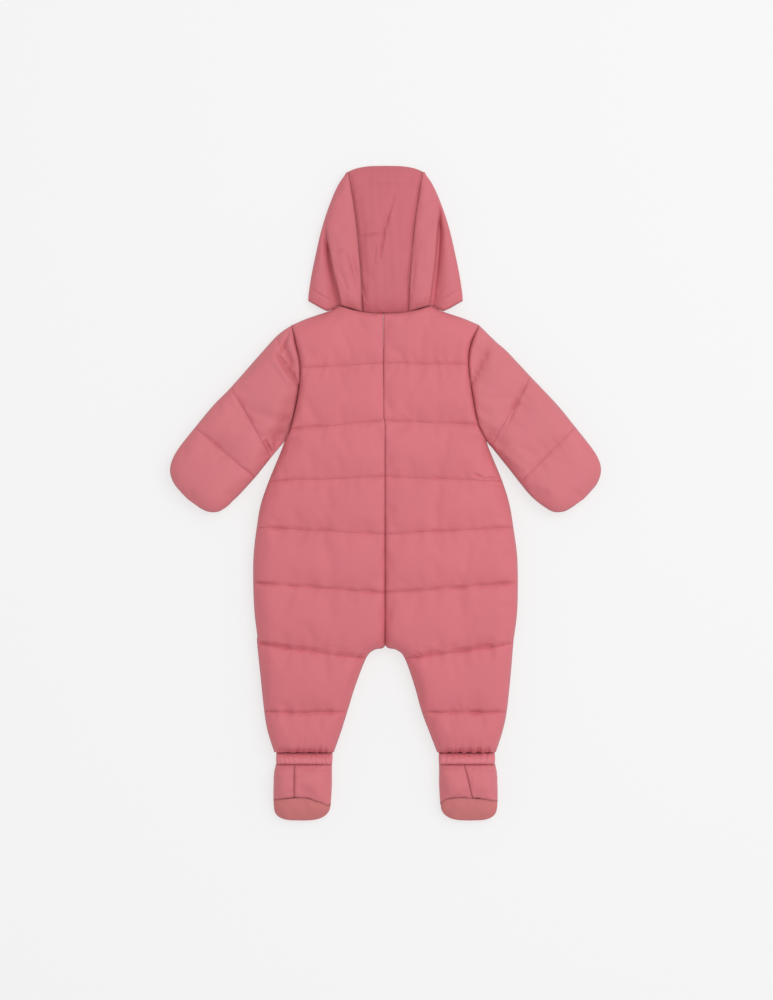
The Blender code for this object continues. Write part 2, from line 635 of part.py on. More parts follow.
def build_slider(material):
    """Slider: a plate with side flanges round the chain, and the bridge that holds the tab."""
    low, high = SLIDER_Z
    plate = [(-SLIDER_HALF, low), (SLIDER_HALF, low), (SLIDER_HALF, FLANGE_Z), (FLANGE_IN, FLANGE_Z),
             (FLANGE_IN, high), (-FLANGE_IN, high), (-FLANGE_IN, FLANGE_Z), (-SLIDER_HALF, FLANGE_Z)]
    mesh = bpy.data.meshes.new("zip_slider")
    work = bmesh.new()
    ends = [[work.verts.new((x * MM, y * MM, z * MM)) for x, z in plate] for y in SLIDER_Y]
    for k in range(len(plate)):
        n = (k + 1) % len(plate)
        work.faces.new((ends[0][k], ends[0][n], ends[1][n], ends[1][k]))
    for ring in ends:
        work.faces.new(ring)
    bmesh.ops.recalc_face_normals(work, faces=work.faces)
    work.to_mesh(mesh)
    work.free()
    slider = add_object("zip_slider", mesh, material)
    start, end = BRIDGE_Y
    bar_low, bar_high = BRIDGE_Z
    root = SLIDER_Z[0] + 0.6
    arch = [(start, bar_low), (end, bar_low), (end, root), (end - BRIDGE_LEG, root),
            (end - BRIDGE_LEG, bar_high), (start + BRIDGE_LEG, bar_high),
            (start + BRIDGE_LEG, root), (start, root)]
    bridge = add_prism("bridge", arch, "X", (-BRIDGE_HALF, BRIDGE_HALF), material)
    join_by_union(slider, bridge)
    return slider


def build_pull(material):
    """Pull tab with the eye that rides on the slider's bridge; its origin is the hinge."""
    bar = PULL_THICK / 2
    outline = rectangle(-PULL_HALF, PULL_HALF, bar, -PULL_LENGTH)
    eye = rectangle(-EYE_HALF, EYE_HALF, -bar, -EYE_LENGTH)
    tab = add_prism("zip_pull", outline, "Z", (-bar, bar), material, hole=eye)
    tab.location = (0.0, PULL_Y * MM, PULL_Z * MM)
    return tab


def main():
    for item in list(bpy.data.objects):
        bpy.data.objects.remove(item)
    shell = add_material("shell_fabric", (0.64, 0.175, 0.2), 0.6)
    lighter = add_material("shell_fabric_sleeve", (0.66, 0.2, 0.22), 0.6)
    hood = add_material("shell_fabric_hood", (0.6, 0.16, 0.185), 0.6)
    boot = add_material("shell_fabric_boot", (0.66, 0.2, 0.22), 0.6)
    elastic = add_material("gathered_elastic", (0.62, 0.17, 0.2), 0.65)
    sole = add_material("sole_fabric", (0.52, 0.17, 0.175), 0.8)
    tape = add_material("zip_tape_fabric", (0.58, 0.15, 0.18), 0.75)
    chain = add_material("zip_teeth_plastic", (0.6, 0.16, 0.19), 0.4)
    metal = add_material("painted_metal", (0.6, 0.18, 0.2), 0.35, 0.3)

    for side, word in ((1, "right"), (-1, "left")):
        add_wall(f"back_{word}", half_panel(front=False), shell.copy(), side)
        add_wall(f"front_{word}", half_panel(front=True), shell.copy(), side)
        add_wall(f"sleeve_back_{word}", arm_panel(front=False), lighter.copy(), side)
        add_wall(f"sleeve_front_{word}", arm_panel(front=True), lighter.copy(), side)
        add_wall(f"hood_side_{word}", hood_side(), hood.copy(), side)
        add_wall(f"ankle_band_{word}", ankle_band(), elastic.copy(), side, ring=True)
        add_wall(f"boot_quarter_inner_{word}", boot_quarter(True), boot.copy(), side)
        add_wall(f"boot_quarter_outer_{word}", boot_quarter(False), boot.copy(), side)
        add_wall(f"boot_sole_{word}", boot_sole(), sole.copy(), side)
    add_wall("hood_centre", hood_strip(), hood)

    tape_outline = rectangle(-TAPE_HALF, TAPE_HALF, ZIP_FOOT_Y, TAPE_TOP_Y)
    add_prism("zip_tape", tape_outline, "Z", TAPE_Z, tape)
    chain_outline = rectangle(-CHAIN_HALF, CHAIN_HALF, ZIP_FOOT_Y + 1.0, CHAIN_TOP_Y)
    add_prism("zip_chain", chain_outline, "Z", CHAIN_Z, chain)
    build_slider(metal)
    build_pull(metal.copy())


main()
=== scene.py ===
"""Looks of a padded baby snowsuit, laid flat on its front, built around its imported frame.

The tables give the suit in millimetres, for the side at +X: X is across, Y runs from the
soles up to the crown of the hood, and Z is the height above the surface it lies on.
Every skin is a grid of points worked out from these tables, settled by a cloth
simulation while its seams are held, and then closed into a padded piece.
"""

import logging
from collections.abc import Callable, Sequence
from dataclasses import dataclass, field
from enum import Enum
from math import cos, exp, hypot, pi, radians, sin

import bmesh
import bpy
import numpy as np
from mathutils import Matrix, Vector


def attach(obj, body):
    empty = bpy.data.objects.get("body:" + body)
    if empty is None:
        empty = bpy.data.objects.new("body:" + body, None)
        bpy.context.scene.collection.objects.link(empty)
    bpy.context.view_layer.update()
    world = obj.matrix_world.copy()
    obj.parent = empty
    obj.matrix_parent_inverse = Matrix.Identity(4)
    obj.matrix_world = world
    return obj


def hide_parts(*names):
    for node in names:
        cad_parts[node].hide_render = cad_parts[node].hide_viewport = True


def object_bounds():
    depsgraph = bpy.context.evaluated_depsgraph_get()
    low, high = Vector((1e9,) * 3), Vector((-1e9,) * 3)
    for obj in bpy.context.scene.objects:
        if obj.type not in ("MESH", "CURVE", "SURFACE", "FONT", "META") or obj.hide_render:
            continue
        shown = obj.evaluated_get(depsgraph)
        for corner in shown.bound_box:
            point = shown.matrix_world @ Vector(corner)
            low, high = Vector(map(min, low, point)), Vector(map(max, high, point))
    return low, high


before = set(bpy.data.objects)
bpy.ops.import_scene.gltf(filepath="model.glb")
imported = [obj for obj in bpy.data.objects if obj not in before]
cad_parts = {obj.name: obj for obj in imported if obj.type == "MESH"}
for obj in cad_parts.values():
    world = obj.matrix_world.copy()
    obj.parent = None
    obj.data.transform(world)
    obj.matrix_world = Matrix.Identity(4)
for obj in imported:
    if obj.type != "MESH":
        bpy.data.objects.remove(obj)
CAD_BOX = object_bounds()

LOG = logging.getLogger("snowsuit")
SUIT = "suit"
PULL = "zip_pull"
CROWN_Y = 410.0
MM = CAD_BOX[1].y / CROWN_Y  # metres in the frame for each millimetre of the tables
GAP = 0.3
TOUCH = 0.03               # between panels that are sewn edge to edge
SPLIT_Z = 13.0             # height where the suit's front half meets its back half

Grid = np.ndarray          # points by row, column and axis, in table millimetres
Line = np.ndarray          # points of a line


class Side(Enum):
    """Side of the suit, with the sign of its X. The wearer's left is at -X."""

    LEFT = -1
    RIGHT = 1

    @property
    def word(self) -> str:
        """Ending of the names of this side's pieces."""
        return self.name.lower()


class Layer(Enum):
    """Layer of the suit as it lies, with the way its padding swells."""

    BACK = 1
    FRONT = -1

    @property
    def floor(self) -> float:
        """Height of the flat inner face, where the two layers meet."""
        return SPLIT_Z + self.value * GAP / 2


# ---------------------------------------------------------------- tables of the pattern

@dataclass(frozen=True)
class Row:
    """One level of a panel, from its inner to its outer edge.

    The body runs from the centre seam, zip or inner leg to the armhole or side seam,
    and a sleeve from its upper to its lower edge. "quilted" is how deep the quilt line
    there is, and 0 where there is none.
    """

    x_in: float
    y_in: float
    x_out: float
    y_out: float
    quilted: float = 0.0


BACK_ROWS = (
    Row(0.15, 224.0, 117.0, 210.0, 0.3),       # neck and shoulder
    Row(0.15, 193.0, 107.0, 180.0),
    Row(0.15, 162.0, 105.0, 157.0, 0.36),
    Row(0.15, 126.0, 108.5, 119.0),
    Row(0.15, 90.0, 118.0, 82.0, 0.42),
    Row(0.15, 72.0, 126.0, 65.0),              # underarm
    Row(0.15, 56.0, 130.0, 54.0),
    Row(0.15, 20.5, 146.0, 15.0, 0.42),
    Row(0.15, -15.0, 156.0, -14.0),
    Row(0.15, -51.0, 161.0, -42.5, 0.5),
    Row(0.15, -87.0, 164.5, -77.0),
    Row(0.15, -124.0, 165.5, -111.5, 0.7),
    Row(0.15, -158.0, 163.5, -148.0),
    Row(0.15, -190.0, 160.7, -176.0),          # top of the crotch arch
    Row(13.8, -196.2, 160.4, -181.0),
    Row(23.8, -205.8, 159.9, -187.0, 0.95),
    Row(37.3, -240.0, 156.3, -230.0),
    Row(46.0, -273.0, 151.7, -273.0, 0.75),
    Row(54.5, -298.0, 146.4, -298.0),
    Row(64.5, -324.0, 138.0, -324.0, 1.0),     # gathered ankle
)
UNDERARM = 5
CROTCH = 13
ZIP_EDGE = 5.0
ZIP_FOOT_Y = -150.0
LAST_ZIP_ROW = 11
# Where the two sides differ a little: inner x, outer x and y of a row.
SIDE_ROWS = {
    Side.LEFT: {
        1: (0.15, 112.0, 187.0), 2: (0.15, 106.2, 155.5), 3: (0.15, 109.2, 120.0), 4: (0.15, 118.6, 79.5),
        10: (0.15, 165.0, -77.0), 12: (0.15, 164.0, -148.0), 15: (23.8, 160.7, -187.0),
        17: (47.6, 151.7, -273.0), 18: (55.4, 147.4, -298.0), 19: (64.5, 139.2, -324.0),
    },
    Side.RIGHT: {
        1: (0.15, 106.4, 186.0), 2: (0.15, 103.4, 160.0), 3: (0.15, 108.6, 121.0), 4: (0.15, 115.6, 85.5),
        8: (0.15, 155.0, -14.0), 9: (0.15, 159.8, -42.5), 12: (0.15, 164.7, -148.0),
        13: (0.15, 161.4, -176.0), 16: (36.0, 156.3, -230.0), 17: (45.2, 151.7, -273.0),
    },
}
# Sway of the centre back seam: level, and how far towards +X it lies.
SEAM_SWAY = ((226.0, -2.4), (94.0, -2.2), (86.0, -0.5), (-192.0, -0.5))
BACK_NECK = ((0.15, 224.0), (15.0, 224.4), (28.75, 226.0), (44.0, 229.3), (57.5, 234.0))
FRONT_NECK = ((ZIP_EDGE, 181.0), (17.0, 183.3), (33.5, 192.5), (50.0, 213.0), (57.5, 234.0))
SHOULDER = ((57.5, 234.0), (66.0, 229.3), (76.5, 225.3), (98.0, 218.2), (117.0, 210.0))

ARM_ROWS = (
    Row(117.0, 210.0, 126.0, 65.0, 0.5),       # armhole
    Row(139.0, 192.0, 128.5, 62.0),
    Row(152.0, 179.0, 131.0, 59.0),
    Row(190.0, 136.0, 137.0, 52.0, 0.5),
    Row(215.0, 110.0, 153.0, 32.0),
    Row(239.0, 81.0, 171.0, 10.0, 0.5),
    Row(258.0, 57.0, 180.0, -0.5),             # closed mitt
    Row(267.0, 41.0, 189.0, -9.2),
    Row(269.5, 27.0, 199.0, -17.6),
    Row(265.2, 13.0, 210.4, -23.7),
    Row(256.4, 1.5, 222.8, -23.2),
    Row(248.4, -6.7, 233.4, -17.8),
)
CAP_FADE = 2.7             # rows over which the armhole's curve dies out
# The sleeves are quilted at slightly different places.
ARM_LINES = {
    Side.LEFT: {1: (133.5, 198.6, 128.5, 62.0), 3: (193.0, 132.5, 142.5, 45.2), 5: (238.0, 82.3, 163.0, 19.6),
                6: (258.0, 57.0, 181.2, -0.5), 7: (267.0, 41.0, 190.2, -9.2)},
    Side.RIGHT: {1: (138.0, 189.2, 128.5, 62.0), 2: (152.0, 177.0, 131.0, 59.0),
                 3: (181.5, 145.5, 131.8, 58.3), 5: (237.5, 82.3, 168.0, 12.8),
                 6: (257.5, 57.0, 178.8, -0.5), 7: (267.0, 41.0, 187.8, -9.2)},
}
# How strongly they are pulled in, from the upper to the lower edge of the sleeve.
ARM_PULL = {
    Side.LEFT: {0: (0.4, 0.4), 3: (0.5, 1.3, 1.1, 0.5, 0.7, 1.0), 5: (0.3, 1.2, 1.1, 0.9, 0.9)},
    Side.RIGHT: {0: (0.4, 0.4), 3: (1.5, 1.1, 1.2, 0.9, 0.3, 0.2), 5: (0.4, 0.6, 0.6, 0.6, 0.7)},
}
SHOULDER_LINE = ((137.0, 192.0), (107.0, 134.0))   # short quilt line over the shoulder

# Thread along a quilt line.
STITCH_PITCH = 3.6
STITCH_LENGTH = 2.7
STITCH_RADIUS = 0.24


@dataclass(frozen=True)
class Padding:
    """How thick a quilted layer is, in millimetres above its flat inner face."""

    crest: float           # between two quilt lines
    line: float            # on a quilt line
    sewn: float            # on a seam to another panel
    edge: float            # on the outline of the suit
    most: float            # limit, where the suit lies on it
    seam_width: float      # how far it takes to rise from a seam
    edge_width: float      # and from the outline


BACK_PADDING = Padding(19.5, 9.5, 14.6, 0.5, 40.0, 8.0, 24.0)
FRONT_PADDING = Padding(14.2, 7.5, 6.4, 0.5, 12.85, 12.0, 25.0)
ARM_BACK_PADDING = Padding(16.8, 8.5, 14.0, 0.5, 40.0, 8.0, 21.0)
FRONT_PULL = 0.85          # how strongly the front, which lies flat, is quilted
SEAM_GROOVE = 3.4          # how deep a seam is drawn in
SEAM_REACH = 1.4
ARM_FRONT_PADDING = Padding(14.2, 7.5, 6.4, 0.5, 12.85, 12.0, 23.0)


@dataclass(frozen=True)
class Air:
    """How a skin is settled by the cloth simulation."""

    pressure: float = 4.0
    ease: float = 0.014    # how much longer the cloth is than the shape it starts from
    frames: int = 16
    reach: float = 5.0     # most that a point may move, in millimetres
    bending: float = 2.0
    calm: int = 2          # how often its moves are evened out


@dataclass(frozen=True)
class Crease:
    """A soft trough (or ridge, where its depth is negative) along a short line."""

    x0: float
    y0: float
    x1: float
    y1: float
    width: float
    depth: float


# ---------------------------------------------------------------- shapes

def spline(values: np.ndarray, places: np.ndarray) -> np.ndarray:
    """Catmull-Rom reading of table rows.

    Args:
        values: one row of numbers for each table row.
        places: where to read it, counted in rows.

    Returns:
        One row of numbers for each place.
    """
    last = len(values) - 1
    k = np.clip(places.astype(int), 0, last - 1)
    t = (places - k)[:, None]
    p0, p1, p2, p3 = (values[np.clip(k + step, 0, last)] for step in (-1, 0, 1, 2))
    return 0.5 * (2 * p1 + (p2 - p0) * t + (2 * p0 - 5 * p1 + 4 * p2 - p3) * t ** 2
                  + (3 * p1 - p0 - 3 * p2 + p3) * t ** 3)


def rise(distance: np.ndarray, width: float) -> np.ndarray:
    """Round shoulder from 0 at a seam to 1 at the given width."""
    inside = np.clip(distance / width, 0.0, 1.0)
    return np.sqrt(1.0 - (1.0 - inside) ** 2)


def bell(distance: np.ndarray, width: float) -> np.ndarray:
    """Soft bump of height 1 that dies out over about twice the width."""
    return np.exp(-(distance / width) ** 2)


def distance_to(points: np.ndarray, line: Line) -> np.ndarray:
    """Distance in plan from points to a line of short straight runs.

    Args:
        points: array whose last axis starts with X and Y.
        line: the line's points, X and Y first.

    Returns:
        The distances, in the shape of the points without their last axis.
    """
    flat = points[..., :2].reshape(-1, 1, 2)
    start, step = line[:-1, :2], np.diff(line[:, :2], axis=0)
    share = ((flat - start) * step).sum(-1) / np.maximum((step ** 2).sum(-1), 1e-9)
    near = start + step * np.clip(share, 0.0, 1.0)[..., None]
    return np.linalg.norm(flat - near, axis=-1).min(axis=1).reshape(points.shape[:-1])


def ripple(across: np.ndarray, length: float, seed: int) -> np.ndarray:
    """Irregular wave between about -1 and 1, with a given typical wavelength."""
    rng = np.random.default_rng(seed)
    waves = [sin_wave * np.sin(2 * pi * across / (length * stretch) + turn)
             for sin_wave, stretch, turn in zip((0.5, 0.35, 0.3), rng.uniform(0.7, 1.7, 3),
                                                rng.uniform(0, 2 * pi, 3))]
    return sum(waves)


def drift(points: np.ndarray, length: float, seed: int) -> np.ndarray:
    """Irregular rise and fall over the plan, between about -1 and 1."""
    rng = np.random.default_rng(seed)
    total = np.zeros(points.shape[:-1])
    for turn, phase, stretch in zip(rng.uniform(0, pi, 6), rng.uniform(0, 2 * pi, 6),
                                    rng.uniform(0.7, 1.5, 6)):
        along = points[..., 0] * cos(turn) + points[..., 1] * sin(turn)
        total += np.sin(2 * pi * along / (length * stretch) + phase) / 3.0
    return total


def crease_depth(points: np.ndarray, creases: Sequence[Crease]) -> np.ndarray:
    """Depth of all the creases at each point, in millimetres."""
    depth = np.zeros(points.shape[:-1])
    for crease in creases:
        start = np.array((crease.x0, crease.y0))
        step = np.array((crease.x1, crease.y1)) - start
        share = ((points[..., :2] - start) * step).sum(-1) / (step ** 2).sum()
        near = start + step * np.clip(share, 0.0, 1.0)[..., None]
        away = np.linalg.norm(points[..., :2] - near, axis=-1)
        middle = np.clip(1.0 - np.abs(2.0 * share - 1.0), 0.0, 1.0) ** 0.5
        depth += crease.depth * bell(away, crease.width) * middle
    return depth


def even_places(lengths: Sequence[float], cell: float) -> np.ndarray:
    """Places counted in rows, so that grid rows lie about one cell apart.

    Args:
        lengths: distance from each table row to the next.
        cell: wanted distance between grid rows.

    Returns:
        The places, with every table row among them.
    """
    places: list[float] = []
    for number, length in enumerate(lengths):
        count = max(2, round(length / cell))
        places += [number + step / count for step in range(count)]
    return np.array([*places, float(len(lengths))])


def refined(grid: Grid) -> Grid:
    """A grid with twice as many cells each way, on smooth curves through its points."""
    for axis in (0, 1):
        turned = np.swapaxes(grid, 0, axis)
        count = turned.shape[0]
        flat = turned.reshape(count, -1)
        places = np.linspace(0, count - 1, 2 * count - 1)
        turned = spline(flat, places).reshape(2 * count - 1, *turned.shape[1:])
        grid = np.swapaxes(turned, 0, axis)
    return grid


def knots_of(table: Grid, axis: int) -> np.ndarray:
    """Mean distance of each row (or column) of a table from its first one."""
    steps = np.linalg.norm(np.diff(table, axis=axis), axis=-1).mean(axis=1 - axis)
    return np.concatenate(([0.0], np.cumsum(steps)))


def stops_at(knots: np.ndarray, cell: float) -> np.ndarray:
    """Stops about one cell apart, with every knot among them."""
    spans = [np.linspace(a, b, max(2, round((b - a) / cell)), endpoint=False)
             for a, b in zip(knots, knots[1:])]
    return np.concatenate([*spans, knots[-1:]])


def reread(table: Grid, axis: int, knots: np.ndarray, stops: np.ndarray, smooth: bool) -> Grid:
    """Reads a table at other stops along one axis.

    Args:
        table: points by row, column and axis.
        axis: 0 to read between rows, 1 between columns.
        knots: where the table's rows or columns are.
        stops: where to read it.
        smooth: true for a smooth curve, or false for straight runs.

    Returns:
        The new grid.
    """
    values = np.swapaxes(table, 0, axis)
    k = np.clip(np.searchsorted(knots, stops, side="right") - 1, 0, len(knots) - 2)
    width = np.diff(knots)
    t = ((stops - knots[k]) / width[k])[:, None, None]
    a, b = values[k], values[k + 1]
    if not smooth:
        return np.swapaxes(a + (b - a) * t, 0, axis)
    slope = np.diff(values, axis=0) / width[:, None, None]
    before, after = width[:-1, None, None], width[1:, None, None]
    inner = (slope[:-1] * after + slope[1:] * before) / (before + after)
    tangent = np.concatenate((slope[:1], inner, slope[-1:]))
    span = width[k][:, None, None]
    read = ((2 * t ** 3 - 3 * t ** 2 + 1) * a + (t ** 3 - 2 * t ** 2 + t) * span * tangent[k]
            + (3 * t ** 2 - 2 * t ** 3) * b + (t ** 3 - t ** 2) * span * tangent[k + 1])
    return np.swapaxes(read, 0, axis)


def fine_pair(outer: Grid, inner: Grid, cell: float) -> tuple[Grid, Grid]:
    """Fine grids of a piece's outer face, on smooth curves, and its inner face, on straight runs."""
    for axis in (0, 1):
        knots = knots_of(outer, axis)
        stops = stops_at(knots, cell)
        outer = reread(outer, axis, knots, stops, True)
        inner = reread(inner, axis, knots, stops, False)
    return outer, inner


def run_length(line: Line) -> np.ndarray:
    """Distance along a line up to each of its points."""
    steps = np.linalg.norm(np.diff(line, axis=0), axis=1)
    return np.concatenate(([0.0], np.cumsum(steps)))


def walk(line: Line, pitch: float) -> tuple[Line, Line]:
    """Evenly spaced points along a line and the directions there."""
    length = run_length(line)
    stops = np.arange(pitch / 2, length[-1], pitch)
    points = np.stack([np.interp(stops, length, line[:, k]) for k in range(3)], axis=1)
    ahead = np.stack([np.interp(stops + 0.5, length, line[:, k]) for k in range(3)], axis=1)
    behind = np.stack([np.interp(stops - 0.5, length, line[:, k]) for k in range(3)], axis=1)
    along = ahead - behind
    return points, along / np.maximum(np.linalg.norm(along, axis=1, keepdims=True), 1e-9)


# ---------------------------------------------------------------- meshes

def new_object(name: str, points: np.ndarray, faces: Sequence[Sequence[int]]) -> bpy.types.Object:
    """Adds a mesh object at the origin, with its faces turned outwards and shaded smooth."""
    mesh = bpy.data.meshes.new(name)
    mesh.from_pydata(points.tolist(), [], faces)
    work = bmesh.new()
    work.from_mesh(mesh)
    bmesh.ops.recalc_face_normals(work, faces=work.faces)
    work.to_mesh(mesh)
    work.free()
    mesh.shade_smooth()
    made = bpy.data.objects.new(name, mesh)
    bpy.context.scene.collection.objects.link(made)
    return made


def write_attribute(made: bpy.types.Object, name: str, values: np.ndarray) -> None:
    """Stores one number for each vertex."""
    layer = made.data.attributes.new(name, "FLOAT", "POINT")
    layer.data.foreach_set("value", values.astype(np.float32).ravel())


def quads(rows: int, columns: int, ring: bool = False) -> np.ndarray:
    """Corner numbers of a grid's cells."""
    spans = columns if ring else columns - 1
    r, c = np.meshgrid(np.arange(rows - 1), np.arange(spans), indexing="ij")
    d = (c + 1) % columns
    cells = np.stack([r * columns + c, r * columns + d, (r + 1) * columns + d, (r + 1) * columns + c], -1)
    return cells.reshape(-1, 4)


def rim_order(rows: int, columns: int) -> np.ndarray:
    """Corner numbers round the edge of a grid, in order."""
    top = np.arange(columns)
    right = np.arange(1, rows) * columns + columns - 1
    bottom = (rows - 1) * columns + np.arange(columns - 2, -1, -1)
    left = np.arange(rows - 2, 0, -1) * columns
    return np.concatenate((top, right, bottom, left))


def closed_pad(name: str, skin: Grid, floor: float, side: int, painted_shade_at_seams: np.ndarray) -> bpy.types.Object:
    """Padded piece with a flat inner face, closed all round by a narrow rim.

    Args:
        name: the piece's name.
        skin: its outer grid.
        floor: height of its flat inner face.
        side: 1, or -1 to mirror it.
        painted_shade_at_seams: closeness to a seam or quilt line for each point of the grid, from 0 to 1, by
            which the material paints shade into the colour.

    Returns:
        The new object.
    """
    rows, columns = skin.shape[:2]
    flat = skin.reshape(-1, 3)
    rim = rim_order(rows, columns)
    inner = flat[rim].copy()
    inner[:, 2] = floor
    count, around = len(flat), len(rim)
    faces = quads(rows, columns).tolist()
    for k in range(around):
        n = (k + 1) % around
        faces.append([int(rim[k]), count + k, count + n, int(rim[n])])
    faces.append(list(range(count, count + around)))
    made = new_object(name, np.vstack((flat, inner)) * (side * MM, MM, MM), faces)
    # The rim round the outline gets the full mask, so the material paints shade on it.
    write_attribute(made, "painted_shade_at_seams", np.concatenate((painted_shade_at_seams.ravel(), np.ones(around))))
    return made


def closed_wall(name: str, outer: Grid, inner: Grid, side: int, ring: bool = False,
                painted_shade_at_seams: np.ndarray | None = None) -> bpy.types.Object:
    """Piece with its own inner face, closed between the edges of two like grids."""
    rows, columns = outer.shape[:2]
    cells = quads(rows, columns, ring)
    count = rows * columns
    faces = cells.tolist() + (cells[:, ::-1] + count).tolist()
    spans = columns if ring else columns - 1
    for r in (0, rows - 1):
        for c in range(spans):
            a, b = r * columns + c, r * columns + (c + 1) % columns
            faces.append([a, b, count + b, count + a])
    if not ring:
        for c in (0, columns - 1):
            for r in range(rows - 1):
                a, b = r * columns + c, (r + 1) * columns + c
                faces.append([a, b, count + b, count + a])
    points = np.vstack((outer.reshape(-1, 3), inner.reshape(-1, 3))) * (side * MM, MM, MM)
    made = new_object(name, points, faces)
    # Painted shade: this mask darkens the colour of both faces along seams and outlines.
    marks = np.zeros(count) if painted_shade_at_seams is None else painted_shade_at_seams.ravel()
    write_attribute(made, "painted_shade_at_seams", np.concatenate((marks, marks)))
    return made


def settle(skin: Grid, held: np.ndarray, air: Air, up: float = 1.0) -> Grid:
    """Settles a skin with the cloth simulation while its seams are held.

    Args:
        skin: the grid to settle.
        held: true at each point that stays where it is.
        air: pressure, ease and limits of the simulation.
        up: 1 where the padding swells upwards, or -1 where it swells down.

    Returns:
        The settled grid.
    """
    rows, columns = skin.shape[:2]
    mesh = bpy.data.meshes.new("settling")
    mesh.from_pydata((skin.reshape(-1, 3) * MM).tolist(), [], quads(rows, columns).tolist())
    down, across = skin[1:, :-1] - skin[:-1, :-1], skin[:-1, 1:] - skin[:-1, :-1]
    facing = np.sign((across[..., 0] * down[..., 1] - across[..., 1] * down[..., 0]).sum())
    cloth = bpy.data.objects.new("settling", mesh)
    scene = bpy.context.scene
    scene.collection.objects.link(cloth)
    group = cloth.vertex_groups.new(name="held")
    group.add(np.flatnonzero(held.ravel()).tolist(), 1.0, "REPLACE")
    modifier = cloth.modifiers.new("cloth", "CLOTH")
    settings = modifier.settings
    settings.quality = 6
    settings.mass = 0.2
    settings.bending_stiffness = air.bending
    settings.use_pressure = True
    settings.uniform_pressure_force = air.pressure * facing * up
    settings.shrink_min = -air.ease
    settings.vertex_group_mass = "held"
    settings.effector_weights.gravity = 0.0
    modifier.collision_settings.use_collision = False
    modifier.point_cache.frame_start = 1
    modifier.point_cache.frame_end = air.frames
    for number in range(1, air.frames + 1):
        scene.frame_set(number)
    settled = cloth.evaluated_get(bpy.context.evaluated_depsgraph_get()).data
    points = np.empty(rows * columns * 3, dtype=np.float32)
    settled.vertices.foreach_get("co", points)
    moved = points.reshape(skin.shape).astype(float) / MM - skin
    bpy.data.objects.remove(cloth)
    scene.frame_set(1)
    for _ in range(air.calm):
        padded = np.pad(moved, ((1, 1), (1, 1), (0, 0)), mode="edge")
        moved = (padded[:-2, 1:-1] + padded[2:, 1:-1] + padded[1:-1, :-2] + padded[1:-1, 2:] + 2 * moved) / 6
    length = np.linalg.norm(moved, axis=-1, keepdims=True)
    moved *= air.reach * np.tanh(length / air.reach) / np.maximum(length, 1e-6)
    moved[held] = 0.0
    return skin + moved


def thread(name: str, lines: Sequence[Line], side: int = 1) -> bpy.types.Object:
    """Stitches along lines, joined in one piece.

    Args:
        name: the piece's name.
        lines: the lines to stitch, lying on the cloth.
        side: 1, or -1 to mirror them.

    Returns:
        The new object, with one short rounded bar for each stitch.
    """
    sides, stations = 5, ((-0.5, 0.25), (-0.36, 1.0), (0.36, 1.0), (0.5, 0.25))
    points: list[np.ndarray] = []
    faces: list[list[int]] = []
    for line in lines:
        for middle, along in zip(*walk(line, STITCH_PITCH)):
            middle[2] = max(middle[2], STITCH_RADIUS + 0.02)
            across = np.cross(along, (0.0, 0.0, 1.0))
            across /= max(float(np.linalg.norm(across)), 1e-9)
            up = np.cross(across, along)
            start = len(points) * sides
            for share, swell in stations:
                turn = 2 * pi * np.arange(sides)[:, None] / sides
                ring = STITCH_RADIUS * swell * (np.cos(turn) * across + np.sin(turn) * up)
                points.append(middle + along * (share * STITCH_LENGTH) + ring)
            for s in range(len(stations) - 1):
                for k in range(sides):
                    n = (k + 1) % sides
                    a = start + s * sides
                    faces.append([a + k, a + n, a + sides + n, a + sides + k])
            faces.append([start + k for k in range(sides)])
            end = start + (len(stations) - 1) * sides
            faces.append([end + k for k in reversed(range(sides))])
    return new_object(name, np.vstack(points) * (side * MM, MM, MM), faces)


# ---------------------------------------------------------------- body

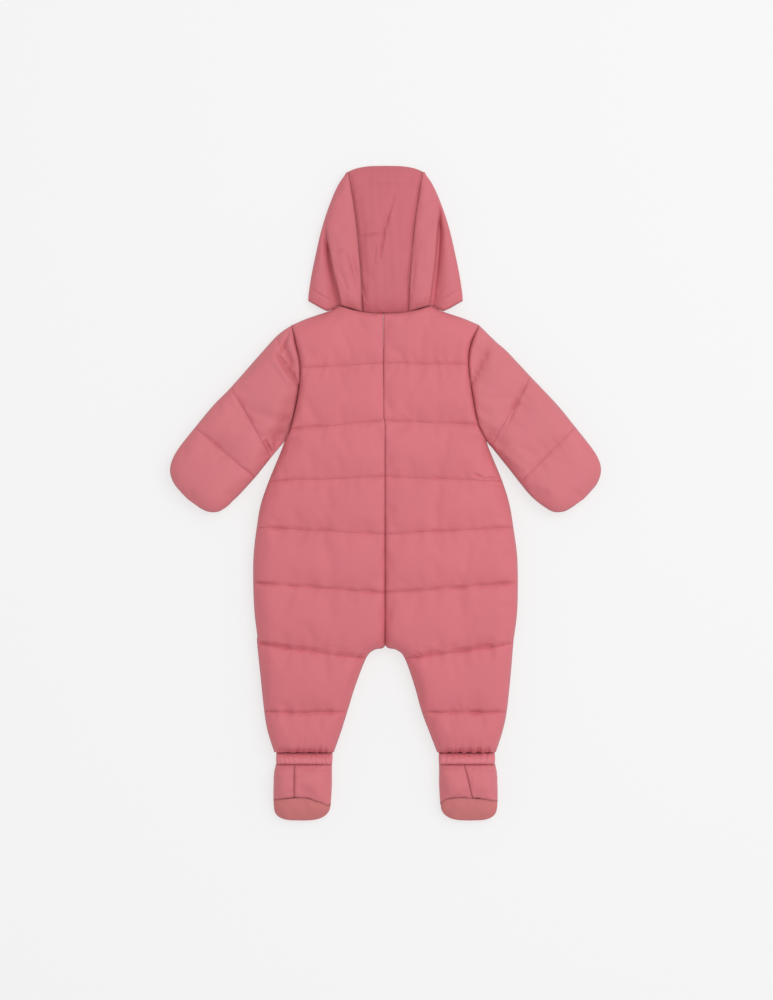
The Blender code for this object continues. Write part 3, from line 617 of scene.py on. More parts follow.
@dataclass
class HalfPanel:
    """One half of the back or the front, from the neck to the ankle, quilted across."""

    side: Side
    layer: Layer
    padding: Padding
    air: Air
    cell: float
    creases: tuple[Crease, ...] = ()
    rows: tuple[Row, ...] = field(init=False)
    places: np.ndarray = field(init=False)
    skin: Grid = field(init=False)
    marks: np.ndarray = field(init=False)

    def __post_init__(self) -> None:
        """Works out this half's rows and where its grid rows lie."""
        own = SIDE_ROWS[self.side]
        rows = list(BACK_ROWS)
        for k, (x_in, x_out, y_out) in own.items():
            rows[k] = Row(x_in, rows[k].y_in, x_out, y_out, rows[k].quilted)
        if self.layer is Layer.FRONT:
            edge = [Row(ZIP_EDGE, row.y_in, row.x_out, row.y_out, row.quilted)
                    for row in rows[:LAST_ZIP_ROW + 1]]
            edge[0] = Row(ZIP_EDGE, 181.0, 117.0, 210.0, 0.3)
            edge[1] = Row(ZIP_EDGE, 172.0, 107.0, 180.0)
            foot = [Row(ZIP_EDGE, ZIP_FOOT_Y - GAP, 163.8, -142.0),
                    Row(GAP / 2, ZIP_FOOT_Y - 4.0, 163.6, -147.0)]
            rows = edge + foot + rows[LAST_ZIP_ROW + 2:]
        self.rows = tuple(rows)
        lengths = [(hypot(a.x_in - b.x_in, a.y_in - b.y_in) + hypot(a.x_out - b.x_out, a.y_out - b.y_out)) / 2
                   for a, b in zip(rows, rows[1:])]
        self.places = even_places(lengths, self.cell)

    def edges(self) -> np.ndarray:
        """Inner and outer edge of every grid row: X, Y, X, Y."""
        table = np.array([(row.x_in, row.y_in, row.x_out, row.y_out) for row in self.rows])
        edges = spline(table, self.places)
        edges[:, 0] = np.where(edges[:, 0] < 1.0, TOUCH / 2, edges[:, 0])
        return edges

    def plan(self) -> Grid:
        """The grid in plan, at height 0."""
        edges = self.edges()
        columns = round(130.0 / self.cell)
        along = np.linspace(0.0, 1.0, columns + 1)
        plan = np.zeros((len(edges), columns + 1, 3))
        for axis in (0, 1):
            plan[..., axis] = edges[:, axis, None] * (1 - along) + edges[:, axis + 2, None] * along
        top = self.top_line(along)
        fade = np.clip(1.0 - self.places / 2.0, 0.0, 1.0)[:, None, None] ** 1.5
        plan[..., :2] += (top - plan[0, :, :2]) * fade
        inside = np.sin(pi * along) ** 0.5
        for number, row in enumerate(self.line_rows()):
            away = np.abs(np.arange(len(edges)) - row)[:, None] * self.cell
            sway = ripple(plan[row, :, 0], 46.0, 400 + 3 * number + self.side.value)
            plan[..., 1] += 0.8 * inside * sway * np.exp(-(away / 12.0) ** 2)
        away = np.abs(np.arange(len(edges)) - len(edges) + 1)[:, None] * self.cell
        if self.layer is Layer.BACK:
            ruffles = ripple(plan[-1, :, 0], 9.0, 431 + self.side.value)
            plan[..., 1] += inside * (ruffles + 0.2) * np.exp(-away / 4.0)
            sway = np.array(SEAM_SWAY)[::-1]
            shift = np.interp(plan[..., 1], sway[:, 0], sway[:, 1]) * np.exp(-plan[..., 0] / 30.0)
            plan[..., 0] += self.side.value * shift
        return plan

    def top_line(self, along: np.ndarray) -> np.ndarray:
        """Neck seam and shoulder, read at shares of the top row."""
        neck = np.array(BACK_NECK if self.layer is Layer.BACK else FRONT_NECK)
        shoulder = np.array(SHOULDER)
        on_neck = spline(neck, np.clip(along * 2.0, 0.0, 1.0) * (len(neck) - 1))
        on_shoulder = spline(shoulder, np.clip(along * 2.0 - 1.0, 0.0, 1.0) * (len(shoulder) - 1))
        return np.where(along[:, None] <= 0.5, on_neck, on_shoulder)

    def quilting(self, plan: Grid) -> np.ndarray:
        """How far the quilt lines pull the padding down at each point, from 0 to about 1."""
        pull = np.zeros(plan.shape[:2])
        lines = [k for k, row in enumerate(self.rows) if row.quilted]
        from_side = distance_to(plan, plan[:, -1])
        for first, last in zip(lines, lines[1:]):
            a, b = np.searchsorted(self.places, (first, last))
            x, y = plan[a:b + 1, :, 0], plan[a:b + 1, :, 1]
            share = (y[0] - y) / (y[0] - y[-1])
            span = np.abs(y[0] - y[-1])
            for near, number in ((share, first), (1.0 - share, last)):
                seed = 300 + 10 * number + self.side.value
                uneven = 0.85 + 0.3 * ripple(x, 70.0, seed) + 0.25 * ripple(x, 21.0, seed + 1)
                edge = 0.8 + 0.55 * np.exp(-from_side[a:b + 1] / 30.0)
                firm = self.rows[number].quilted if self.layer is Layer.BACK else FRONT_PULL
                depth = firm * np.clip(uneven, 0.35, 1.4) * edge
                dome = np.sin(pi * np.clip(near, 0.0, 0.5)) ** 0.62
                groove = np.exp(-((near * span) / 2.6) ** 1.2)
                part = depth * (0.42 * (1.0 - dome) + 0.5 * groove)
                pull[a:b + 1] = np.where(near <= 0.5, part, pull[a:b + 1])
        return pull

    def line_rows(self) -> list[int]:
        """Grid rows that are quilt lines, without the neck and the ankle."""
        lines = [k for k, row in enumerate(self.rows) if row.quilted][1:-1]
        return [int(np.searchsorted(self.places, k)) for k in lines]

    def thickness(self, plan: Grid) -> np.ndarray:
        """Thickness of the padding at each point before it is settled."""
        pad = self.padding
        puffed = pad.crest - (pad.crest - pad.line) * self.quilting(plan)
        under, fork = np.searchsorted(self.places, (UNDERARM, CROTCH + (self.layer is Layer.FRONT)))
        middle = plan.shape[1] // 2
        thick = puffed
        for run in (plan[0, middle:], plan[under:, -1], plan[fork:, 0]):
            away = distance_to(plan, run)
            thick = np.minimum(thick, pad.edge + (thick - pad.edge) * rise(away, pad.edge_width))
        for run in (plan[0, :middle + 1], plan[:under + 1, -1]):
            sewn, away = np.minimum(thick, pad.sewn), distance_to(plan, run)
            thick = sewn + (thick - sewn) * rise(away, pad.seam_width)
            thick -= np.minimum(SEAM_GROOVE, 0.4 * thick) * np.exp(-away / SEAM_REACH)
        away = distance_to(plan, plan[:fork + 1, 0])
        if self.layer is Layer.BACK:
            deep = np.clip((90.0 - plan[..., 1]) / 270.0, 0.0, 1.0)
            groove = (0.9 + 3.7 * deep) * np.exp(-away / (1.5 + 1.1 * deep))
            valley = (0.4 + 4.2 * deep ** 1.5) * np.exp(-away / 9.0)
            thick = thick - np.minimum(groove + valley, 0.8 * thick)
        else:
            sewn = np.minimum(thick, pad.sewn)
            thick = sewn + (thick - sewn) * rise(away, pad.seam_width)
        ankle = distance_to(plan, plan[-1])
        return thick - np.maximum(thick - 0.6 * pad.line, 0.0) * np.exp(-(ankle / 3.2) ** 1.5)

    def puckers(self, plan: Grid) -> np.ndarray:
        """Small gathers along the quilt lines and the ankle, as changes in thickness."""
        total = 0.35 * drift(plan, 70.0, 50 + self.side.value)
        from_side = distance_to(plan, plan[:, -1])
        for number, row in enumerate(self.line_rows()):
            seed = number * 7 + self.side.value + 20
            away = plan[..., 1] - plan[row, :, 1]
            near = np.exp(-np.abs(away) / 5.0) * np.clip(np.abs(away) / 1.2, 0.0, 1.0)
            across = plan[..., 0] + 0.3 * away
            uneven = 0.25 + 0.75 * ripple(plan[..., 0], 90.0, seed + 3) ** 2 + 0.5 * np.exp(-from_side / 22.0)
            total += near * uneven * ripple(across, 9.0, seed) * 0.75
        away = distance_to(plan, plan[-1])
        gathers = ripple(plan[..., 0] + 0.12 * away, 6.5, 71 + self.side.value)
        total += np.exp(-(away / 7.0) ** 1.3) * gathers * 2.2
        return total

    def shape(self) -> None:
        """Shapes and settles the skin of this half."""
        plan = self.plan()
        held = np.zeros(plan.shape[:2], dtype=bool)
        held[[0, -1], :] = True
        held[:, [0, -1]] = True
        held[self.line_rows(), :] = True
        pad = self.padding
        thick = self.thickness(plan)
        loose = np.clip(thick - pad.edge, 0.0, 4.0) / 4.0
        thick = thick + self.puckers(plan) * loose
        skin = plan.copy()
        skin[..., 2] = self.layer.floor + self.layer.value * thick
        skin = refined(settle(skin, held, self.air, self.layer.value))
        fine = (skin[..., 2] - self.layer.floor) * self.layer.value
        fine -= crease_depth(skin, self.creases) * np.clip(fine - pad.edge, 0.0, 4.0) / 4.0
        skin[..., 2] = self.layer.floor + self.layer.value * np.clip(fine, 0.3, pad.most)
        self.skin = skin
        # Painted shade: a mask that darkens the colour along the quilt lines and the seams round the panel,
        # where the grooves lie in shade.
        lines = [2 * row for row in self.line_rows()]
        marks = np.zeros(skin.shape[:2])
        for row, number in zip(lines, [k for k, row in enumerate(self.rows) if row.quilted][1:-1]):
            uneven = 0.6 + 0.5 * ripple(skin[..., 0], 34.0, 600 + number + self.side.value)
            strength = np.clip(0.25 + 0.75 * self.rows[number].quilted, 0.0, 1.0) * np.clip(uneven, 0.2, 1.0)
            marks = np.maximum(marks, strength * bell(skin[..., 1] - skin[row, :, 1], 1.2))
        for run in (skin[0], skin[:, -1], skin[:, 0]):
            marks = np.maximum(marks, bell(distance_to(skin, run[::2]), 1.1))
        self.marks = marks

    def stitch_lines(self) -> list[Line]:
        """Lines of stitches on the quilt lines."""
        lift = np.array((0.0, 0.0, 0.2 * self.layer.value))
        return [self.skin[2 * row, 2:-2] + lift for row in self.line_rows()]

    def armhole(self) -> Line:
        """Seam that the sleeve is sewn to, from the shoulder to the underarm."""
        places = self.places[self.places <= UNDERARM]
        fine = np.interp(np.linspace(0, len(places) - 1, 4 * len(places)), np.arange(len(places)), places)
        table = np.array([(row.x_out, row.y_out) for row in self.rows])
        return spline(table, fine)

    def build(self, material: bpy.types.Material) -> None:
        """Makes the panel's piece."""
        word = "back" if self.layer is Layer.BACK else "front"
        name = f"{word}_panel_{self.side.word}"
        made = closed_pad(name, self.skin, self.layer.floor, self.side.value, self.marks)
        dress(made, material, SUIT, "shell", f"{word}_{self.side.word}")


# ---------------------------------------------------------------- sleeves

@dataclass
class Sleeve:
    """One layer of a sleeve, from the armhole to the closed end of its mitt."""

    side: Side
    layer: Layer
    padding: Padding
    air: Air
    armhole: Line
    cell: float
    creases: tuple[Crease, ...] = ()
    skin: Grid = field(init=False)
    marks: np.ndarray = field(init=False)
    places: np.ndarray = field(init=False)

    def plan(self) -> Grid:
        """The grid in plan: columns run from the shoulder side to the underarm side."""
        seam = self.armhole
        columns = round(145.0 / self.cell)
        length = run_length(seam)
        along = np.linspace(0.0, 1.0, columns + 1)
        cap = np.stack([np.interp(along * length[-1], length, seam[:, k]) for k in (0, 1)], axis=1)
        table = np.array([(row.x_in, row.y_in, row.x_out, row.y_out) for row in ARM_ROWS])
        for number, values in ARM_LINES[self.side].items():
            table[number] = values
        lengths = [(hypot(*(a[:2] - b[:2])) + hypot(*(a[2:] - b[2:]))) / 2 for a, b in zip(table, table[1:])]
        self.places = even_places(lengths, self.cell)
        edges = spline(table, self.places)
        plan = np.zeros((len(edges), columns + 1, 3))
        for axis in (0, 1):
            plan[..., axis] = edges[:, axis, None] * (1 - along) + edges[:, axis + 2, None] * along
        fade = np.clip(1.0 - self.places / CAP_FADE, 0.0, 1.0)[:, None, None] ** 1.3
        plan[..., :2] += (cap - plan[0, :, :2]) * fade
        plan[..., 0] += TOUCH
        return plan

    def line_rows(self) -> list[int]:
        """Grid rows that are quilt lines across the whole sleeve."""
        lines = [k for k, row in enumerate(ARM_ROWS) if row.quilted][1:]
        return [int(np.searchsorted(self.places, k)) for k in lines]

    def thickness(self, plan: Grid) -> np.ndarray:
        """Thickness of the padding at each point before it is settled."""
        pad = self.padding
        lines = [k for k, row in enumerate(ARM_ROWS) if row.quilted]
        pull = np.zeros(plan.shape[:2])
        for first, last in zip(lines, [*lines[1:], None]):
            start = int(np.searchsorted(self.places, first))
            end = len(self.places) - 1 if last is None else int(np.searchsorted(self.places, last))
            rows = np.arange(start, end + 1)[:, None]
            span = (end - start) * self.cell if last is not None else 60.0
            for number, row in ((first, start), (last, end)):
                if number is None:
                    continue
                away = distance_to(plan[start:end + 1], plan[row])
                seed = 340 + 10 * number + self.side.value
                y = plan[row, :, 1]
                uneven = 0.85 + 0.35 * ripple(y, 50.0, seed) + 0.25 * ripple(y, 15.0, seed)
                knots = ARM_PULL[self.side][number]
                across = np.linspace(0.0, 1.0, plan.shape[1])
                strong = np.interp(across, np.linspace(0.0, 1.0, len(knots)), knots)
                firm = ARM_ROWS[number].quilted * strong if self.layer is Layer.BACK else FRONT_PULL
                depth = firm * np.clip(uneven, 0.4, 1.3)
                dome = np.sin(pi * np.clip(away / span, 0.0, 0.5)) ** 0.62
                part = depth * (0.45 * (1.0 - dome) + 0.5 * np.exp(-(away / 2.6) ** 1.2))
                nearer = np.abs(rows - row) * 2 <= end - start if last is not None else True
                pull[start:end + 1] = np.where(nearer, part, pull[start:end + 1])
        thick = pad.crest - (pad.crest - pad.line) * pull
        line = np.array(SHOULDER_LINE)
        if self.layer is Layer.BACK:
            thick -= (thick - pad.line) * 0.5 * np.exp(-distance_to(plan, line) / 5.0)
        outline = np.vstack((plan[:, 0], plan[-1, 1:-1], plan[::-1, -1]))
        away = distance_to(plan, outline)
        thick = np.minimum(thick, pad.edge + (thick - pad.edge) * rise(away, pad.edge_width))
        sewn, away = np.minimum(thick, pad.sewn), distance_to(plan, plan[0])
        thick = sewn + (thick - sewn) * rise(away, pad.seam_width)
        return thick - np.minimum(SEAM_GROOVE, 0.4 * thick) * np.exp(-away / SEAM_REACH)

    def shape(self) -> None:
        """Shapes and settles the skin of this layer."""
        plan = self.plan()
        held = np.zeros(plan.shape[:2], dtype=bool)
        held[[0, -1], :] = True
        held[:, [0, -1]] = True
        held[self.line_rows(), :] = True
        pad = self.padding
        thick = self.thickness(plan)
        away_from = [distance_to(plan, plan[row]) for row in self.line_rows()]
        for number, away in enumerate(away_from):
            along = plan[..., 0] * 0.55 - plan[..., 1] * 0.83
            near = np.exp(-away / 5.0) * np.clip(away / 1.2, 0.0, 1.0)
            thick = thick + near * ripple(along, 10.0, 40 + 3 * number + self.side.value) * 0.5
        if self.layer is Layer.BACK:
            held |= distance_to(plan, np.array(SHOULDER_LINE)) < 0.5 * self.cell
        skin = plan.copy()
        skin[..., 2] = self.layer.floor + self.layer.value * np.maximum(thick, 0.3)
        skin = refined(settle(skin, held, self.air, self.layer.value))
        fine = (skin[..., 2] - self.layer.floor) * self.layer.value - crease_depth(skin, self.creases)
        skin[..., 2] = self.layer.floor + self.layer.value * np.clip(fine, 0.3, pad.most)
        self.skin = skin
        # Painted shade: a mask that darkens the colour along the quilt lines and the seams round the sleeve,
        # where the grooves lie in shade.
        marks = np.zeros(skin.shape[:2])
        for row in self.line_rows():
            uneven = np.clip(0.6 + 0.5 * ripple(skin[..., 1], 34.0, 640 + row + self.side.value), 0.2, 1.0)
            marks = np.maximum(marks, 0.6 * uneven * bell(distance_to(skin, skin[2 * row, ::2]), 1.1))
        for run in (skin[0], skin[:, -1], skin[:, 0]):
            marks = np.maximum(marks, bell(distance_to(skin, run[::2]), 1.1))
        self.marks = marks

    def stitch_lines(self) -> list[Line]:
        """Lines of stitches on the quilt lines."""
        lift = np.array((0.0, 0.0, 0.25 * self.layer.value))
        return [self.skin[2 * row, 2:-2] + lift for row in self.line_rows()]

    def build(self, material: bpy.types.Material) -> None:
        """Makes the layer's piece."""
        word = "back" if self.layer is Layer.BACK else "front"
        name = f"sleeve_{word}_panel_{self.side.word}"
        made = closed_pad(name, self.skin, self.layer.floor, self.side.value, self.marks)
        dress(made, material, SUIT, "sleeve_shell", f"sleeve_{word}_{self.side.word}")


# ---------------------------------------------------------------- hood

HOOD_ROWS = np.array((
    # level, seam, crease y, outline x and y, face edge x and y, share of the full height
    (226.4, 28.9, 234.4, 96.7, 240.8, 5.3, 181.3, 0.55),
    (240.0, 29.4, 244.0, 96.3, 248.0, 10.5, 207.0, 0.9),
    (255.0, 29.8, 256.0, 95.0, 258.0, 25.0, 233.0, 1.0),
    (275.0, 30.9, 275.0, 92.3, 275.0, 40.0, 258.0, 1.0),
    (300.0, 33.1, 300.0, 87.2, 300.0, 49.5, 285.0, 1.0),
    (330.0, 35.8, 330.0, 80.3, 330.0, 51.5, 318.0, 1.0),
    (360.0, 39.6, 360.0, 70.6, 360.0, 48.0, 352.0, 0.9),
    (385.0, 43.4, 385.0, 59.8, 385.0, 45.6, 378.0, 0.6),
    (402.2, 46.2, 401.2, 50.4, 399.4, 46.5, 400.0, 0.2),
))
FACE_TOP_Y = 385.0
LEAF_TOP = 6.15            # where the outer leaf rests on the front leaf
LEAF_GAP = 0.5
OPENING_Z = 3.15
LEAF_RAMP = 12.0
# Across the outer leaf, from the seam (0) past the crease (1) to the outline (2): height
# where the crease is sharp, and where it has died out.
SIDE_STATIONS = np.array((
    (0.0, 18.6, 18.6), (0.05, 20.0, 20.0), (0.2, 22.4, 22.2), (0.5, 23.0, 22.6), (0.75, 21.2, 21.0),
    (0.9, 20.4, 19.2), (0.97, 18.8, 18.2), (1.0, 13.0, 17.8), (1.03, 8.2, 17.4), (1.1, 8.0, 16.9),
    (1.22, 10.6, 16.0), (1.42, 14.6, 15.0), (1.7, 14.8, 13.0), (1.9, 11.5, 10.8), (2.0, 7.5, 7.5),
    (1.96, 2.5, 2.5), (1.84, 0.0, 0.0),
))
# Where the crease runs: one x for each level of the hood, and the levels where it dies out.
CREASE_X = {
    Side.LEFT: (56.5, 58.0, 60.6, 65.2, 69.6, 73.2, 65.0, 55.0, 49.0),
    Side.RIGHT: (56.0, 57.4, 58.8, 61.4, 63.8, 65.6, 65.4, 57.0, 49.2),
}
CREASE_END = {Side.LEFT: (298.0, 340.0), Side.RIGHT: (322.0, 368.0)}
CREASE_TROUGH = {Side.LEFT: (4.0, 1.5), Side.RIGHT: (7.0, 2.1)}   # depth and half width
UNDER_STATIONS = 2
FRONT_STATIONS = np.array((
    # share from the outline to the face edge, hem x and y, height of its inner face there
    (0.265, 72.0, 229.1, 5.6), (0.424, 57.5, 234.4, 5.6), (0.507, 49.7, 213.3, 12.4),
    (0.69, 33.25, 192.8, 12.4), (0.871, 16.8, 183.6, 12.4), (1.0, ZIP_EDGE + GAP, 181.3, 9.0),
))
HEM_DIP_Y = 227.0
HEM_DIP = 0.38
HOOD_AIR = Air(pressure=1.5, ease=0.008, frames=14, reach=2.0, bending=2.0)
HEM_STITCH = ((92.5, 256.0), (80.6, 248.5), (69.5, 242.5))


def leaf_height(x: np.ndarray, y: np.ndarray) -> np.ndarray:
    """Height of what the outer leaf of the hood rests on."""
    edge = np.interp(y, HOOD_ROWS[:, 6], HOOD_ROWS[:, 5])
    covered = np.clip(np.maximum((x - edge) / LEAF_RAMP, (y - FACE_TOP_Y) / LEAF_RAMP), 0.0, 1.0)
    return OPENING_Z + (LEAF_TOP - OPENING_Z) * covered


@dataclass
class HoodSide:
    """Side panel of the hood: outer leaf, fold at its outline, and front leaf to the face edge."""

    side: Side
    cell: float
    creases: tuple[Crease, ...]
    most: float = 26.0
    skin: Grid = field(init=False)

    def tables(self) -> tuple[Grid, Grid]:
        """Outer and inner faces by level and station."""
        outer, inner = [], []
        start, end = CREASE_END[self.side]
        for number, row in enumerate(HOOD_ROWS):
            row = np.insert(row, 2, CREASE_X[self.side][number])
            level, (x_out, y_out, x_face, y_face, lift) = row[0], row[4:]
            fade = max(0.0, 1.0 - (level - HOOD_ROWS[0, 0]) / 60.0)
            sharp = min(1.0, max(0.0, (end - level) / (end - start)))
            top, lining = [], []
            for station, creased, plain in SIDE_STATIONS:
                height = plain + (creased - plain) * sharp
                x, y = self.on_leaf(row, station, fade)
                under = len(top) >= len(SIDE_STATIONS) - UNDER_STATIONS
                if under:
                    z = height
                elif station >= 1.9:
                    z = 8.0 + (height - 8.0) * lift
                else:
                    z = max(10.0 + (height - 10.0) * lift, leaf_height(x, y) + LEAF_GAP + 1.4)
                top.append((x, y, z))
                x_in, y_in = self.on_leaf(row, 1.84 if under else min(station, 1.86), fade)
                step = -LEAF_GAP if under else LEAF_GAP * (station < 1.9)
                lining.append((x_in, y_in, leaf_height(x_in, y_in) + step))
            for along, hem_x, hem_y, roof in FRONT_STATIONS:
                first = HOOD_ROWS[0]
                straight_x = first[3] + (first[5] - first[3]) * along
                straight_y = first[4] + (first[6] - first[4]) * along
                x = x_out + (x_face - x_out) * along + (hem_x - straight_x) * fade ** 1.2
                y = y_out + (y_face - y_out) * along + (hem_y - straight_y) * fade ** 1.2
                top.append((x, y, 0.0))
                lining.append((x, y, roof if number == 0 else leaf_height(x, y) - LEAF_GAP))
            outer.append(top)
            inner.append(lining)
        return np.array(outer), np.array(inner)

    def on_leaf(self, row: np.ndarray, station: float, fade: float) -> tuple[float, float]:
        """Place of a station on the outer leaf, with the hem's dip at the shoulder."""
        level, x_seam, x_crease, y_crease, x_out, y_out = row[:6]
        if station <= 1.0:
            return x_seam + (x_crease - x_seam) * station, level + (y_crease - level) * station
        part = station - 1.0
        straight = HOOD_ROWS[0, 2] + (HOOD_ROWS[0, 4] - HOOD_ROWS[0, 2]) * HEM_DIP
        sag = part / HEM_DIP if part < HEM_DIP else (1.0 - part) / (1.0 - HEM_DIP)
        y = y_crease + (y_out - y_crease) * part + (HEM_DIP_Y - straight) * sag * fade
        return x_crease + (x_out - x_crease) * part, y

    def build(self, material: bpy.types.Material) -> None:
        """Makes the panel's piece."""
        outer, inner = fine_pair(*self.tables(), self.cell)
        outer[..., 2] = np.maximum(outer[..., 2], 0.0)
        x, y = outer[..., 0], outer[..., 1]
        fold = int(np.argmax(x[x.shape[0] // 2]))
        free = np.zeros(outer.shape[:2], dtype=bool)
        free[1:-1, 1:fold - 2] = True
        loose = np.clip((outer[..., 2] - leaf_height(x, y) - 2.0) / 8.0, 0.0, 1.0)
        loose[:, fold + 1:] = 0.0
        neck = np.exp(-(y - y[:1]) / 10.0)
        gathers = ripple(x - 0.15 * y, 9.0, 11 + self.side.value)
        folds = ripple(x + 0.06 * y, 17.0, 31 + self.side.value) * np.exp(-(y - 226.0) / 45.0)
        swell = drift(outer, 42.0, 5 + self.side.value)
        outer[..., 2] += loose * (neck * gathers * 0.5 + folds * 0.4 + 0.3 * swell)
        outer = settle(outer, ~free, HOOD_AIR)
        least = np.where(free, leaf_height(x, y) + LEAF_GAP + 1.2, 0.0)
        outer[..., 2] = np.clip(outer[..., 2], least, self.most)
        outer, inner, loose = refined(outer), refined(inner), refined(loose[..., None])[..., 0]
        outer[..., 2] -= np.clip(loose, 0.0, 1.0) * crease_depth(outer, self.creases)
        path = np.column_stack((np.array(CREASE_X[self.side]) + 1.0, HOOD_ROWS[:, 2]))
        start, end = CREASE_END[self.side]
        sharp = np.clip((end - outer[..., 1]) / (end - start), 0.0, 1.0)
        depth, reach = CREASE_TROUGH[self.side]
        deeper = outer[..., 2] - depth * sharp * bell(distance_to(outer, path[:7]), reach)
        least = leaf_height(outer[..., 0], outer[..., 1]) + LEAF_GAP + 0.9
        upper = np.arange(outer.shape[1]) < 2 * fold - 4
        outer[..., 2] = np.where(upper, np.maximum(deeper, np.minimum(least, outer[..., 2])), outer[..., 2])
        outer[..., 2] = np.maximum(outer[..., 2], 0.0)
        self.skin = outer
        # Painted shade: a mask that darkens the colour along the seam to the centre strip and along the neck.
        marks = bell(outer[..., 0] - outer[:, :1, 0], 1.8)
        marks = np.maximum(marks, bell(distance_to(outer, outer[0, ::2]), 1.8))
        marks[:, 2 * fold:] = 0.0
        made = closed_wall(f"hood_side_panel_{self.side.word}", outer, inner, self.side.value, painted_shade_at_seams=marks)
        dress(made, material, SUIT, "hood_shell", f"hood_side_{self.side.word}")

    def hem_line(self) -> Line:
        """Line of stitches above the flap's hem."""
        xy = np.array(HEM_STITCH)
        stops = np.linspace(0.0, 2.0, 30)
        line = spline(xy, stops)
        plan = self.skin[..., :2].reshape(-1, 2)
        height = self.skin[..., 2].reshape(-1)
        under = 1e3 * (height < 5.0)
        near = [int(np.argmin(((plan - point) ** 2).sum(axis=1) + under)) for point in line]
        return np.column_stack((line, height[near] + 0.1))


CROWN_ROWS = (
    # how far below the crown's outline, height, level and height of its inner face
    (3.5, 12.0, 401.5, LEAF_TOP + LEAF_GAP), (0.0, 7.2, 402.0, LEAF_TOP),
    (2.0, 2.2, 401.0, LEAF_TOP - LEAF_GAP), (7.5, 0.0, 399.0, LEAF_TOP - LEAF_GAP),
)
STRIP_COLUMNS = (-1.0, -0.93, -0.82, -0.5, -0.18, 0.18, 0.5, 0.82, 0.93, 1.0)
STRIP_HEIGHT = 24.0
STRIP_SEAM = 18.3
CROWN_HALF_WIDTH = 46.0
UNDER_HALF_WIDTH = 44.4


@dataclass
class HoodStrip:
    """Centre strip of the hood, from the neck over the crown to the top of the face opening."""

    cell: float
    creases: tuple[Crease, ...]
    most: float = 26.5
    skin: Grid = field(init=False)

    def tables(self) -> tuple[Grid, Grid]:
        """Outer and inner faces by level and column."""
        neck = np.array(BACK_NECK)
        outer, inner = [], []
        for number, row in enumerate(HOOD_ROWS[:-1]):
            line, lining = [], []
            for across in STRIP_COLUMNS:
                x = across * (row[1] - TOUCH)
                y = float(np.interp(abs(x), neck[:, 0], neck[:, 1])) + TOUCH if number == 0 else row[0]
                edge = float(rise(np.array(1.0 - abs(across)), 0.4))
                height = STRIP_SEAM + (STRIP_HEIGHT - STRIP_SEAM) * edge
                line.append((x, y, 10.0 + (height - 10.0) * row[7]))
                lining.append((x, y, float(leaf_height(abs(x), y)) + LEAF_GAP))
            outer.append(line)
            inner.append(lining)
        for drop, height, inner_y, inner_z in CROWN_ROWS:
            half = CROWN_HALF_WIDTH - GAP / 2 if drop < 5.0 else UNDER_HALF_WIDTH
            xs = np.array(STRIP_COLUMNS) * half
            crown = CROWN_Y - 7.0 * (np.abs(xs) / CROWN_HALF_WIDTH) ** 3.4
            outer.append([(x, y - drop, height) for x, y in zip(xs, crown)])
            inner.append([(x, inner_y - (CROWN_Y - y) * 0.6, inner_z) for x, y in zip(xs, crown)])
        for y, roof in ((FACE_TOP_Y + 6.0, 0.5), (FACE_TOP_Y, 0.0)):
            xs = np.array(STRIP_COLUMNS) * UNDER_HALF_WIDTH
            under = OPENING_Z + (LEAF_TOP - OPENING_Z) * roof - LEAF_GAP
            outer.append([(x, y, 0.0) for x in xs])
            inner.append([(x, y, under) for x in xs])
        return np.array(outer), np.array(inner)

    def build(self, material: bpy.types.Material) -> None:
        """Makes the strip's piece."""
        outer, inner = fine_pair(*self.tables(), self.cell)
        outer[..., 2] = np.maximum(outer[..., 2], 0.0)
        x, y = outer[..., 0], outer[..., 1]
        crown = int(np.argmax(y[:, y.shape[1] // 2]))
        free = np.zeros(outer.shape[:2], dtype=bool)
        free[1:crown - 2, 1:-1] = True
        loose = np.where(free, np.clip((outer[..., 2] - 12.0) / 6.0, 0.0, 1.0), 0.0)
        neck = np.exp(-(y - 224.0) / 9.0)
        outer[..., 2] += loose * (neck * ripple(x, 12.0, 17) * 0.4 + 0.25 * drift(outer, 38.0, 9)
                                  + 0.42 * ripple(x + 0.05 * y, 13.0, 23))
        outer = settle(outer, ~free, HOOD_AIR)
        outer[..., 2] = np.clip(outer[..., 2], 0.0, self.most)
        outer, inner, loose = refined(outer), refined(inner), refined(loose[..., None])[..., 0]
        outer[..., 2] -= np.clip(loose, 0.0, 1.0) * crease_depth(outer, self.creases)
        outer[..., 2] = np.maximum(outer[..., 2], 0.0)
        self.skin = outer
        # Painted shade: a mask that darkens the colour along both seams and the neck.
        edge = np.minimum(outer[..., 0] - outer[:, :1, 0], outer[:, -1:, 0] - outer[..., 0])
        marks = np.maximum(bell(edge, 1.8), bell(distance_to(outer, outer[0, ::2]), 1.8))
        made = closed_wall("hood_centre_strip", outer, inner, 1, painted_shade_at_seams=marks)
        dress(made, material, SUIT, "hood_shell", "hood_centre")

    def topstitches(self) -> list[Line]:
        """Lines of stitches beside the two seams."""
        columns = self.skin.shape[1]
        crown = int(np.argmax(self.skin[:, columns // 2, 1]))
        beside = 4
        lift = np.array((0.0, 0.0, 0.2))
        return [self.skin[2:crown - 6, beside] + lift, self.skin[2:crown - 6, columns - 1 - beside] + lift]


# ---------------------------------------------------------------- feet

ANKLE_X = 101.6
ANKLE_WALL = 9.0
ANKLE_SLIT = 0.4
BAND_ROWS = ((-324.3, 35.4, 12.6), (-326.5, 35.2, 18.0), (-331.5, 35.4, 23.0), (-336.5, 35.2, 23.2),
             (-339.2, 35.0, 20.8))
BAND_SIDES = 180
BAND_CORNER = 0.6


